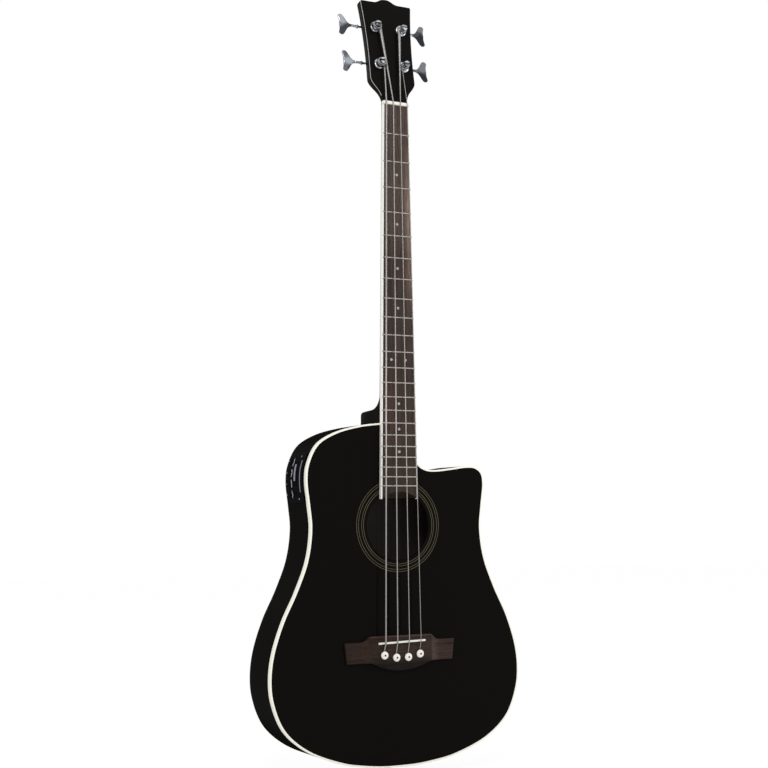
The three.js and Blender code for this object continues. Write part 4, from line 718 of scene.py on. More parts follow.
def pearl(colour):
    """Mother of pearl: soft cells of slightly different tints under a gloss."""
    finish = Finish("pearl_dot", colour, 0.2)
    red, green, blue = colour
    stops = [(0.3, tinted(colour, 0.75)), (0.5, colour), (0.7, (red * 0.95, green, blue * 1.12))]
    finish.set("Base Color", finish.ramp(finish.noise(500, 2, 0.6, 1.5), stops))
    return finish.material


def screen(colour, glow):
    """A lit liquid-crystal window: a sine wave of the height makes rows of lit bars behind a gloss face."""
    finish = Finish("display_window", tinted(colour, 0.5), 0.12)
    bars = finish.math("ABSOLUTE", finish.math("SINE", finish.math("MULTIPLY", finish.axis("Z"), 1300.0)))
    lit = finish.range(bars, 0.35, 1.0, 0.15, 0.4)
    shade = finish.ramp(lit, shades(colour, (0.35, 0.45), (1, 1)))
    finish.set("Base Color", shade)
    finish.set("Emission Color", shade)
    finish.shader.inputs["Emission Strength"].default_value = glow
    return finish.material


# Settings that a user would change

def tint_of(name, description, default):
    """The colour of one finish."""
    return FloatVectorProperty(
        name=name, description=description, subtype="COLOR", default=default, min=0, max=1,
    )


def length_of(name, description, default, **limits):
    """A length, given in millimetres."""
    limits = {key: value * MM for key, value in limits.items()}
    return FloatProperty(name=name, description=description, unit="LENGTH", default=default * MM, **limits)


class BodySettings(bpy.types.PropertyGroup):
    """Colours and edges of the hollow body and the neck."""

    lacquer_colour: tint_of("Lacquer", "Colour of the gloss lacquer", (0.0036, 0.0032, 0.0026))
    binding_colour: tint_of("Binding", "Colour of the edge binding", (0.98, 0.95, 0.84))
    edge_radius: length_of("Edge radius", "Rounding of the body's outer edges", 1.0, min=0.1)
    head_edge: length_of("Headstock front edge", "Rounding of the headstock's front edge", 0.7, min=0.1)
    head_back_edge: length_of(
        "Headstock back edge", "Rounding of the headstock's back edge", 3.8, min=0.1, max=4.5,
    )


class RingSettings(bpy.types.PropertyGroup):
    """The inlaid rings round the soundhole."""

    radii: FloatVectorProperty(
        name="Radii", description="Middle radius of each ring", size=4, unit="LENGTH",
        default=(57.8 * MM, 60.9 * MM, 66.0 * MM, 69.3 * MM),
    )
    width: length_of("Width", "Width of each ring", 0.65)
    colour: tint_of("Colour", "Colour of the rings", (0.122, 0.11, 0.066))


class BoardSettings(bpy.types.PropertyGroup):
    """Wood, metal and marks of the fingerboard and the bridge."""

    board_colour: tint_of("Fingerboard", "Middle colour of the fingerboard's wood", (0.085, 0.061, 0.050))
    bridge_colour: tint_of("Bridge", "Middle colour of the bridge's wood", (0.034, 0.021, 0.0165))
    strip_colour: tint_of("Side strips", "Colour of the strips along the fingerboard", (0.99, 0.97, 0.92))
    dot_radius: length_of("Dot radius", "Radius of a position dot", 2.1)
    fret_colour: tint_of("Frets", "Colour of the fret metal", (0.44, 0.415, 0.385))
    ivory_colour: tint_of("Nut and saddle", "Colour of nut, saddle and pins", (0.89, 0.86, 0.77))


class TunerSettings(bpy.types.PropertyGroup):
    """The four tuning machines."""

    chrome_colour: tint_of("Chrome", "Colour of the plated metal", (0.33, 0.35, 0.385))
    chrome_roughness: FloatProperty(
        name="Roughness", description="Blur of the plating", subtype="FACTOR", default=0.12,
    )
    sides: IntProperty(
        name="Sides", description="Points round each turned piece", default=56, min=16, max=128,
    )


class StringSettings(bpy.types.PropertyGroup):
    """The four wound strings."""

    colour: tint_of("Colour", "Colour of the wrap wire", (0.44, 0.415, 0.395))
    pitch: length_of("Wrap pitch", "Distance between turns of the wrap wire", 0.6)


class PreampSettings(bpy.types.PropertyGroup):
    """The control panel in the bass side."""

    plastic_colour: tint_of("Plastic", "Colour of panel and knobs", (0.0042, 0.004, 0.0056))
    print_colour: tint_of("Print", "Colour of the printed marks", (0.62, 0.62, 0.64))
    screen_colour: tint_of("Display", "Colour of the lit display", (0.15, 0.14, 0.23))
    screen_glow: FloatProperty(name="Glow", description="Light of the display", default=0.08, min=0)


class StageSettings(bpy.types.PropertyGroup):
    """Floor, light and camera."""

    floor_colour: tint_of("Floor", "Colour of the floor", (0.95, 0.95, 0.95))
    ambient: FloatProperty(name="Ambient", description="Light from all round", default=0.6, min=0)
    key_power: FloatProperty(
        name="Key lamp", description="Power of the large lamp", unit="POWER", default=36.0, min=0,
    )
    fill_power: FloatProperty(
        name="Fill lamp", description="Power of the small lamp", unit="POWER", default=22.0, min=0,
    )


# Operators, one for each piece or group of like pieces

class BASS_OT_body(bpy.types.Operator):
    """Build the soundboard, the back, both ribs and the edge binding over a fine outline"""

    bl_idname = "bass.body"
    bl_label = "Hollow body"

    def execute(self, context):
        settings = context.scene.bass_body
        black, dark, behind = (
            lacquer(f"{name}_lacquer", settings.lacquer_colour, gloss)
            for name, gloss in (("top", 0.03), ("side", 0.002), ("back", 0.08))
        )
        cream = ivory("edge_binding", settings.binding_colour)
        bare = bare_wood("inside_wood", (0.026, 0.021, 0.016), (0.017, 0.0135, 0.01), 2)
        outline = body_outline()
        piece("body_top", [self.top(outline)], [black], replaces=["soundboard"])
        piece("body_back", [self.back(outline)], [behind], replaces=["back_plate"])
        piece("back_inside", [self.back_inside(outline)], [bare])
        binding = self.binding(outline, settings.edge_radius)
        piece("edge_binding", [binding], [cream], replaces=["front_binding"])
        for sign, name in ((-1, "bass_side_rib"), (1, "treble_side_rib")):
            piece(f"{name}_bent", [self.rib(outline, sign)], [dark], replaces=[name])
        return {"FINISHED"}

    def top(self, outline):
        """A flat ring, front and behind: points on straight lines from the round hole to the outline."""
        centre, soft = np.array([0, SOUNDHOLE_Z]), 0.6 * MM
        edge = inset(outline, BINDING_WIDTH + CLEARANCE)
        radial = unit(edge - centre)
        hole = centre + radial * SOUNDHOLE_RADIUS
        shares = np.array([0, 0.02, 0.08, 0.2, 0.4, 0.7, 1])[:, None, None]
        fall, away = (part[:-1] for part in quarter(soft, 5))
        bend = hole + away[:, None, None] * radial
        inner = hole + radial * soft
        flat = np.concatenate([bend, inner + (edge - inner) * shares, (hole + (edge - hole) * shares)[::-1]])
        level = np.zeros(len(shares))
        depth = np.concatenate([fall, level, level + TOP_THICKNESS])
        return skin(at_depth(flat, depth[:, None]), wrap=True)

    def back(self, outline):
        """Rings that shrink to the middle, outside at the arched depth and inside 3 mm in front of it."""
        inward, drop = quarter(1.5 * MM, 5)
        shares = np.linspace(0.04, 1, 20)[:-1]
        outside = shrunk(inset(outline, inward[0]), BACK_CENTRE, shares)
        inside = shrunk(outline, BACK_CENTRE, shares[::-1])
        edge = [inset(outline, distance) for distance in inward]
        flat = np.array([*outside, *edge, outline, *inside])
        lift = np.concatenate([0 * shares, drop, np.full(1 + len(shares), BACK_THICKNESS)])
        return skin(at_depth(flat, back_face(flat) - lift[:, None]))

    def back_inside(self, outline):
        """A thin sheet of bare wood on the back's inner face, which shows through the soundhole."""
        flat = shrunk(inset(outline, 9 * MM), BACK_CENTRE, np.linspace(0.05, 1, 14))
        low, high = (at_depth(flat, back_face(flat) - BACK_THICKNESS - lift * MM) for lift in (0.15, -0.2))
        return skin(np.concatenate([low, high[::-1]]))

    def binding(self, outline, radius):
        """A rectangular section with one round corner, carried round the outline."""
        inward, drop = quarter(radius, 6)
        across = np.concatenate([[0], drop, [BINDING_WIDTH, BINDING_WIDTH]])
        deep = np.concatenate([[BINDING_DEPTH], inward, [0, BINDING_DEPTH]])
        flat = np.array([inset(outline, distance) for distance in across])
        return skin(at_depth(flat, deep[:, None]), wrap=True)

    def rib(self, outline, sign):
        """A wall between two offsets of one side's outline, from binding to back, open at the preamp."""
        count = len(treble_side())
        grids = []
        for line in (outline, inset(outline, RIB_THICKNESS)):
            side = line[:count] if sign > 0 else np.vstack([line[:1], line[count:][::-1]])
            side = np.vstack([side, [[0, side[-1, 1]]]])[:, None]
            side[[0, -1], :, 0] = sign * CLEARANCE / 2
            front = BINDING_DEPTH + CLEARANCE
            back = back_face(side) - BACK_THICKNESS - CLEARANCE
            grids.append(at_depth(side, front + (back - front) * np.linspace(0, 1, 15)))
        if sign > 0:
            return walled(*grids)
        low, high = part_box("preamp_case")
        middle = (grids[0][:-1, :-1] + grids[0][1:, 1:]) / 2
        inside = ((middle > low) & (middle < high))[..., 1:].all(axis=-1)
        return walled(*grids, ~(inside & (middle[..., 0] < -HALF_WIDTH / 2)))


class BASS_OT_rings(bpy.types.Operator):
    """Lay the thin inlaid rings round the soundhole"""

    bl_idname = "bass.rings"
    bl_label = "Soundhole rings"

    def execute(self, context):
        """Each ring is a rectangle turned about the soundhole's middle."""
        settings = context.scene.bass_rings
        finish = moulded("ring_inlay", settings.colour, 0.35, 400.0)
        turn = around(160)
        across = settings.width / 2 * np.array([[-1], [1], [1], [-1]])
        deep = np.array([[-0.04], [-0.04], [0.3], [0.3]]) * MM
        shells = []
        for radius in settings.radii:
            reach = radius + across
            x, z = reach * np.cos(turn), SOUNDHOLE_Z + reach * np.sin(turn)
            shells.append(skin(grid(x, deep, z), wrap=True))
        piece("soundhole_rings", shells, [finish])
        return {"FINISHED"}


class BASS_OT_neck(bpy.types.Operator):
    """Build the neck with its heel, and the tilted headstock"""

    bl_idname = "bass.neck"
    bl_label = "Neck and headstock"

    def execute(self, context):
        settings = context.scene.bass_body
        # the neck and the headstock's face get lighter copies of the body's black lacquer: painted light
        dark = lacquer("neck_lacquer", tinted(settings.lacquer_colour, 1.3), 0.006)
        face = lacquer("headstock_lacquer", tinted(settings.lacquer_colour, 1.55), 0.03)
        shells = [self.shaft(), self.head(settings.head_edge, settings.head_back_edge)]
        piece("neck_and_headstock", shells, [dark, face], replaces=["neck"])
        # a pale line along the headstock's bass edge: a painted highlight of its rounded front edge
        pale = ivory("painted_edge_highlight", (0.44, 0.44, 0.45))
        piece("headstock_painted_highlight", [self.painted_edge_highlight()], [pale])
        return {"FINISHED"}

    def shaft(self):
        """Sections flat in front and a superellipse behind, whose depth and power run smoothly from station
        to station. Each station holds its height and depth in millimetres and its power."""
        stations = np.array([
            [-490.06, 79, 0.3], [-475.86, 79, 0.3], [-471.66, 77.2, 0.3], [-469.86, 73, 0.36],
            [-468.54, 43.33, 0.5], [-465.9, 33.49, 0.65], [-459.3, 24.88, 0.9], [-447.86, 17.5, 1.2],
            [-223.93, 16.5, 1.35], [-21, 15.5, 1.35], [5.5, 15.2, 1.2], [24, 15, 1.1],
        ])
        marks = stations[[0, 1, 7, 9, 11], 0]
        spans = zip(marks, marks[1:], (3, 47, 29, 19))
        rows = [np.linspace(start, end, count, endpoint=False) for start, end, count in spans]
        z = np.concatenate([*rows, marks[-1:]])
        depth, power = (monotone(stations[:, 0], stations[:, k], z)[:, None] for k in (1, 2))
        turn = np.linspace(0, np.pi, 49)
        across = np.sign(np.cos(turn)) * np.abs(np.cos(turn)) ** power
        behind = np.clip(np.sin(turn), 0, 1) ** power
        z = z[:, None] * MM
        return skin(grid(board_half(np.minimum(z, 0)) * across, depth * MM * behind, z))

    def head(self, front_radius, back_radius):
        """Rings over the headstock's outline: a flat face, a small front edge, a larger back edge that draws
        it toward its middle, and a back that rises by the cube of the distance where the rim is thin."""
        right = head_side()
        outline = np.vstack([right, right[-2::-1] * [-1, 1]])
        centre = np.array([0, 90 * MM])
        shares = np.array([0.04, 0.2, 0.4, 0.6, 0.8])
        inward, drop = quarter(front_radius, 6)
        low, drawn = quarter(1.0, 6)
        back_rim = centre + (outline - centre) * (1 - back_radius / np.abs(outline - centre).max(axis=0))
        edge = [inset(outline, distance) for distance in inward]
        face = np.array([*shrunk(edge[0], centre, shares), *edge])
        back = np.concatenate([shrunk(back_rim, outline, drawn), shrunk(back_rim, centre, shares[::-1])])
        thin = np.clip((46 * MM - back[..., 1]) / (40 * MM), 0, 1) ** 1.5 * 8.5 * MM
        thin *= np.concatenate([np.ones(len(low)), shares[::-1] ** 3])[:, None]
        fall = np.concatenate([back_radius * low, 0 * shares])[:, None]
        front_rings = at_depth(face, np.concatenate([0 * shares, drop])[:, None])
        rings = np.concatenate([front_rings, at_depth(back, HEAD_THICKNESS - fall - thin)])
        return moved(skin(rings), HEAD_TURN, (0, -HEAD_LIFT, 0))

    def painted_edge_highlight(self):
        """A fine pale tube let into the bass edge of the headstock's face, from the nut to the top corner: a
        painted highlight.
        """
        side = head_side()[4:-26] * [-1, 1] + [0.2 * MM, 0]
        line = tube(at_depth(side, 0.2 * MM), 0.42 * MM, (0, 1, 0), 10)
        return moved(skin(line), HEAD_TURN, (0, -HEAD_LIFT, 0))


def head_side():
    """The treble half of the headstock's outline, from the nut to the crest, as curves in millimetres."""
    nut, foot = NUT_LENGTH / MM / 2, 5.8 / np.cos(HEAD_TILT)
    flare, top = [38.5, 42.5], HEAD_LENGTH / MM
    rise, crown, crest = flare[1] - foot, top + 7, 44 * 0.52
    curves = [
        bezier([[nut, foot], [nut, foot + 0.55 * rise], [36.32, foot + 0.62 * rise], flare], 26),
        bezier([flare, [36.5, 108.5], [44, top - 3]], 26)[1:],
        bezier([[44, top - 3], [44, top], [41, top]], 6)[1:],
        bezier([[crest, top], [crest / 2, top], [crest / 2, crown], [0, crown]], 24),
    ]
    return np.vstack(curves) * MM


class BASS_OT_fingerboard(bpy.types.Operator):
    """Build the fingerboard, its frets, dots and the nut, and give the side strips and the truss rod their
    material
    """

    bl_idname = "bass.fingerboard"
    bl_label = "Fingerboard"

    def execute(self, context):
        settings = context.scene.bass_board
        wood = rosewood("fingerboard_rosewood", settings.board_colour, 2, 1.0, BOARD_TONES_AND_SHEEN)
        metal = polished("fret_metal", settings.fret_colour, 0.2, 120.0)
        cream = ivory("nut_bone", settings.ivory_colour)
        piece("fingerboard_wood", [self.board()], [wood], replaces=["fingerboard"])
        piece("frets", self.frets(), [metal])
        dots = self.dots(settings.dot_radius)
        piece("position_dots", dots, [pearl((0.42, 0.41, 0.39))])
        piece("grooved_nut", [self.nut()], [cream], replaces=["nut"])
        strip = ivory("board_strip", settings.strip_colour)
        dress(strip, "fingerboard_binding_bass", "fingerboard_binding_treble")
        dress(polished("rod_steel", (0.5, 0.5, 0.5), 0.35, 200.0), "truss_rod")
        return {"FINISHED"}

    def board(self):
        """A grid across and along the board; its end follows the circle round the soundhole."""
        soft, start = 0.5 * MM, -CLEARANCE
        share = rim(2.0, 0.02, 4, 14) - 1
        end = SOUNDHOLE_Z + np.sqrt(BOARD_ARC**2 - (share * (board_half(BOARD_END) - BOARD_STRIP)) ** 2)
        run = rim(start - end, soft, 4, 60).T
        z = start - run
        half = board_half(z) - BOARD_STRIP
        x = half * share
        drop = rim_drop(run, start - end, soft) + rim_drop(half - np.abs(x), 2 * half, soft)
        return block(x, np.minimum(drop, soft) - BOARD_HEIGHT, z)

    def frets(self):
        """Half-round crowns across the board, cut back at 35 degrees at both ends."""
        turn = np.linspace(0, np.pi, 9)
        shells = []
        for fret in range(1, FRETS + 1):
            z = fret_z(fret)
            half = board_half(z)
            x = half * np.array([-1, -0.985, -0.96, -0.9, 0.9, 0.96, 0.985, 1])[:, None]
            rise = np.clip((half - np.abs(x)) / (0.9 * MM), 0.12, 1) ** 0.6
            crown = FRET_HEIGHT * rise * np.sin(turn)
            shells.append(skin(grid(x, -BOARD_HEIGHT - crown, z - 1.15 * MM * np.cos(turn))))
        return shells

    def dots(self, radius):
        """Flat discs halfway between two frets, a pair of them at the twelfth."""
        steps = ((1, -0.4), (1, 0.02), (0.97, 0.05), (0.4, 0.05))
        disc = skin(turned([[radius * share, high * MM] for share, high in steps], 40))
        shells = []
        for fret, across in [(fret, 0) for fret in (3, 5, 7, 9, 15, 17, 19)] + [(12, -12), (12, 12)]:
            z = (fret_z(fret - 1) + fret_z(fret)) / 2
            shells.append(moved(disc, TO_FRONT, (across * MM, -BOARD_HEIGHT, z)))
        return shells

    def nut(self):
        """A bar with a rounded top and four round grooves, each as wide as its string."""
        end, crown = 1 * MM, 1.6 * MM
        x = np.unique(rim(NUT_LENGTH, end, 5, 160))[:, None] - NUT_LENGTH / 2
        z = rim(NUT_WIDTH, crown, 6, 8)
        top = rim_drop(z, NUT_WIDTH, crown) + rim_drop(x + NUT_LENGTH / 2, NUT_LENGTH, end) - NUT_HEIGHT
        for i, radius in enumerate(STRING_RADII):
            away = x - (i - 1.5) * NUT_SPACING
            wide = radius + 0.12 * MM
            seat = np.sqrt(np.clip(wide**2 - away**2, 0, None)) - STRING_SEAT
            top = np.where(np.abs(away) < wide, np.maximum(top, seat), top)
        return block(x, top, z)


class BASS_OT_bridge(bpy.types.Operator):
    """Build the carved bridge, the saddle and the four pins"""

    bl_idname = "bass.bridge"
    bl_label = "Bridge"

    def execute(self, context):
        settings = context.scene.bass_board
        wood = rosewood("bridge_rosewood", settings.bridge_colour, 0, 1.6, BRIDGE_PAINTED_LIGHT)
        bone = ivory("saddle_bone", settings.ivory_colour)
        ebony = moulded("pin_dot", (0.02, 0.015, 0.012), 0.3)
        piece("carved_bridge", [self.bridge()], [wood], replaces=["bridge"])
        piece("crowned_saddle", [self.saddle()], [bone], replaces=["saddle"])
        for i, name in enumerate(STRINGS):
            x, z = pin_place(i)
            shells = [moved(shell, TO_FRONT, (x, 0, z)) for shell in self.pin()]
            piece(f"pin_{name}", shells, [bone, ebony], replaces=[f"bridge_pin_{name}"])
        dress(polished("pickup_brass", (0.62, 0.46, 0.2), 0.3), "saddle_pickup")
        return {"FINISHED"}

    def bridge(self):
        """A grid between the bridge's ends and its two outlines, with scooped wings and a round edge."""
        soft = 1.1 * MM
        upper = SADDLE_Z + 9.5 * MM
        lower, wing_top, wing_foot = (upper - share * BRIDGE_LENGTH for share in (1, 0.16, 0.75))
        wing_half = 91.5 * MM
        foot_half = wing_half - 0.065 * BRIDGE_LENGTH
        share = rim(2.0, 0.013, 5, 150)[:, None] - 1
        belly = bezier([[0, lower], [25 * MM, lower], [50 * MM, wing_foot]], 60)
        shoulder = bezier([[49 * MM, upper], [55 * MM, upper], [55 * MM, wing_top], [68 * MM, wing_top]], 60)
        bottom = np.interp(np.abs(share * foot_half), *belly.T)
        reach = np.maximum.accumulate(shoulder[:, 0])
        length = np.interp(np.abs(share * wing_half), reach, shoulder[:, 1]) - bottom
        run = rim(length[:, 0], soft, 5, 30)
        half = foot_half + (wing_half - foot_half) * run / length
        x = share * half
        ramp = np.clip((np.abs(x) - 50 * MM) / (14 * MM), 0, 1)
        scoop = np.clip(1 - run / (15 * MM), 0, 1) ** 2 * np.clip(1 - (x / (52 * MM)) ** 2, 0, 1)
        height = WING_HEIGHT + (BRIDGE_HEIGHT - WING_HEIGHT) * (1 - ramp) ** 1.9 - 3.6 * MM * scoop
        drop = rim_drop(run, length, soft) + rim_drop(half - np.abs(x), 2 * half, soft)
        return block(x, np.minimum(drop, soft) - height, bottom + run)

    def saddle(self):
        """A slim bar on a slanted line, with a half-round crown and rounded ends."""
        length, width = 78 * MM, 3 * MM
        end, crown = 2 * MM, 1.45 * MM
        run, side = rim(length, end, 6, 40)[:, None], rim(width, crown, 7, 4)
        drop = rim_drop(side, width, crown) + rim_drop(run, length, end)
        x = run - length / 2
        z = SADDLE_Z + x * SADDLE_SLOPE + side - width / 2
        return block(x, drop - SADDLE_TOP, z, -5.9 * MM)

    def pin(self):
        """A domed head on a tapered shaft, and a dark dot let into the dome."""
        seat = BRIDGE_HEIGHT + CLEARANCE
        head, high, dot = 5.95 * MM, 4 * MM, 1.5 * MM
        turn = np.linspace(0, RIGHT_ANGLE, 9)
        across = dot + (head - dot) * np.cos(turn) ** 0.9
        dome = np.stack([across, seat + high * (0.35 + 0.65 * np.sin(turn))], -1)
        low = [[2.2 * MM, seat - 19 * MM], [2.4 * MM, seat - 18.4 * MM], [2.9 * MM, seat], [head * 0.9, seat]]
        pale = np.vstack([low, dome, [[dot, seat + high - 0.5 * MM]]])
        steps = ((0.98, 0.6), (0.98, 0.12), (0.7, 0.02), (0.25, 0))
        dark = [[dot * share, seat + high - fall * MM] for share, fall in steps]
        return [skin(turned(pale, 48)), skin(turned(dark, 32))]


def pin_place(i):
    """Where a bridge pin stands: 18.5 mm behind the saddle, and the two inner ones 4 mm further."""
    return (i - 1.5) * PIN_SPACING, SADDLE_Z - (18.5 if i in (0, 3) else 22.5) * MM


class BASS_OT_tuners(bpy.types.Operator):
    """Build the four tuning machines: bushing, slotted post with its wheel, worm, key and screws"""

    bl_idname = "bass.tuners"
    bl_label = "Tuning machines"

    def execute(self, context):
        settings = context.scene.bass_tuners
        sides, blur = settings.sides, settings.chrome_roughness
        # two copies of one chrome, a lighter one for bushings, posts, wheels and worms and a darker one for
        # the key handles, both with painted reflections
        chrome = polished("tuner_chrome", tinted(settings.chrome_colour, 1.25), blur, painted_reflections=170.0)
        painted_key_chrome = polished("key_chrome", tinted(settings.chrome_colour, 0.75), blur, painted_reflections=48.0, lobes=0.2)
        steel = polished("screw_steel", (0.5, 0.51, 0.53), 0.22)
        for i, name in enumerate(STRINGS):
            across, up, side = POST_PLACES[name]
            place = on_head(across, up, 0)
            bushing = moved(self.bushing(sides), TO_HEAD_OUT, place)
            piece(f"bushing_{name}", [bushing], [chrome], replaces=[f"post_bushing_{name}"])
            post = [moved(shell, TO_HEAD_OUT, place) for shell in self.post(sides, STRING_RADII[i])]
            wheel = moved(self.wheel(), HEAD_TURN, place)
            screw = moved(screw_head(3 * MM, 1.6 * MM), TO_HEAD_BACK, on_head(across, up, GEAR_BACK))
            piece(
                f"post_{name}_turned", [*post, wheel, screw], [chrome], body=f"post_{name}",
                replaces=[f"string_post_{name}"],
            )
            turn = HEAD_TURN @ np.diag([side, side, 1.0])
            middle = on_head(across, up + WORM_OFFSET, GEAR_MIDDLE)
            key = [moved(shell, turn, middle) for shell in (self.worm(), self.stem(sides), self.handle())]
            piece(
                f"key_{name}_handle", key, [chrome, chrome, painted_key_chrome], body=f"key_{name}",
                replaces=[f"tuning_key_{name}"],
            )
            dress(chrome, f"tuner_plate_{name}")
            piece(f"plate_screws_{name}", self.screws(across, up), [steel])
        return {"FINISHED"}

    def bushing(self, sides):
        """A domed washer on the face and its sleeve in the hole, turned about the post."""
        bore, sleeve = POST_RADIUS + CLEARANCE, 6.4 * MM
        turn = np.linspace(0, RIGHT_ANGLE, 9)
        dome = [sleeve + 2.8 * MM * np.cos(turn), CLEARANCE + 0.6 * MM + 2.2 * MM * np.sin(turn)]
        profile = np.vstack([
            [[bore, -8 * MM], [sleeve, -8 * MM], [sleeve, CLEARANCE], [9.2 * MM, CLEARANCE]],
            np.transpose(dome),
            [[bore + lip * MM, CLEARANCE + high * MM] for lip, high in ((0.5, 2.8), (0.1, 2.5), (0, 2))],
        ])
        return skin(turned(profile, sides), wrap=True)

    def post(self, sides, string_radius):
        """A round shaft up to the slot's floor, and two half-round prongs with waist, lip and chamfer."""
        shaft = softened([
            [POST_RADIUS, GEAR_BACK], [POST_RADIUS, 3.4 * MM], [POST_WAIST, 4 * MM], [POST_WAIST, SLOT_FLOOR],
        ], 0.3 * MM)
        levels = softened([
            [POST_WAIST, SLOT_FLOOR - 0.1 * MM], [POST_WAIST, 13 * MM], [POST_RADIUS, 13.6 * MM],
            [POST_RADIUS, POST_TOP - 0.9 * MM], [POST_RADIUS - 0.9 * MM, POST_TOP],
        ], 0.3 * MM)
        radius, height = levels[:, :1], levels[:, 1:]
        start = np.arcsin((string_radius + 0.35 * MM) / radius)
        turn = start + (np.pi - 2 * start) * np.linspace(0, 1, 25)
        prong = grid(radius * np.cos(turn), radius * np.sin(turn), height)
        return [skin(turned(shaft, sides)), skin(prong), skin(prong * [-1, -1, 1])]

    def wheel(self):
        """Twenty teeth round the pitch circle, with a chamfer on both faces; one tooth faces the worm."""
        half = np.array([[0, -0.34], [0.08, -0.29], [0.85, -0.17], [1, -0.11]])
        shares = np.vstack([half, half[::-1] * [1, -1]])
        radius = GEAR_RADIUS - 0.65 * MM + shares[:, 0] * 1.15 * MM
        turn = RIGHT_ANGLE + 2 * np.pi * (np.arange(GEAR_TEETH)[:, None] + shares[:, 1]) / GEAR_TEETH
        outline = np.stack([radius * np.cos(turn), radius * np.sin(turn)], -1).reshape(-1, 2)
        return skin(plate(outline, -GEAR_FRONT, -GEAR_BACK, 0.12 * MM, (0.3, 0.8), 3))

    def worm(self):
        """A screw thread about X: the radius is a trapezoid wave of the way along less the turn."""
        pitch = 2 * np.pi * GEAR_RADIUS / GEAR_TEETH
        along, turn = np.linspace(-2, 2, 97)[:, None], around(40)
        phase = along + 1.25 - turn / (2 * np.pi)
        wave = np.abs(2 * (phase - np.floor(phase)) - 1)
        rise = np.clip((wave - 0.45) / 0.25, 0, 1) * np.clip((2 - np.abs(along)) / 0.3, 0, 1)
        radius = 1.95 * MM + rise * 1.15 * MM
        return skin(grid(along * pitch, radius * np.cos(turn), radius * np.sin(turn)))

    def stem(self, sides):
        """The shaft through both lugs, the collar at the headstock's edge and the thicker stem beyond."""
        profile = softened(MM * np.array([
            [1.2, -10.5], [1.8, -10.3], [1.8, 19.8], [3.1, 19.8], [3.1, 22], [2.25, 22.9], [2.1, 27],
            [2.3, 31.8], [1.2, 32.6],
        ]), 0.35 * MM)
        return skin(turned(profile, sides)[..., [2, 0, 1]])

    def handle(self):
        """Two lobes from a narrow neck: rings shrink to the middle and swell by a power of their share."""
        start, tip, half = 29.7 * MM, 53.5 * MM, 17.5 * MM
        reach = tip - start
        shares = ((0.45, 0.75), (0.72, 1), (0.95, 1.05), (1, 0.8), (0.88, 0.35), (0.94, 0))
        lobe = [[start + a * reach, b * half] for a, b in shares]
        upper = np.vstack([
            bezier([[start, 1.8 * MM], [start + 0.45 * reach, 1.8 * MM], lobe[0], lobe[1]], 26),
            bezier(lobe[1:4], 12)[1:],
            bezier(lobe[3:], 16)[1:],
        ])
        outline = evenly(np.vstack([upper, upper[-2::-1] * [1, -1], upper[:1]]), 141)[:-1]
        share = np.sin(np.linspace(0.04, 1, 13) * RIGHT_ANGLE)
        flat = shrunk(outline, np.array([start + 0.66 * reach, 0]), share)
        away = np.clip(np.abs(flat[..., 1]) / half, 0, 1)
        thick = 1.7 * MM * (1 - share[:, None] ** 9) ** 0.5 * (1 - 0.42 * away**1.3)
        return skin(np.concatenate([at_depth(flat, -thick), at_depth(flat, thick)[-2::-1]]))

    def screws(self, across, up):
        """Four small screws near the corners of the plate on the back."""
        screw, middle = screw_head(1.9 * MM, 0.9 * MM), up + WORM_OFFSET / 2
        places = [(across + x * MM, middle + z * MM, -16.9 * MM) for x in (-8.6, 8.6) for z in (-12.6, 12.6)]
        return [moved(screw, TO_HEAD_BACK, on_head(*place)) for place in places]


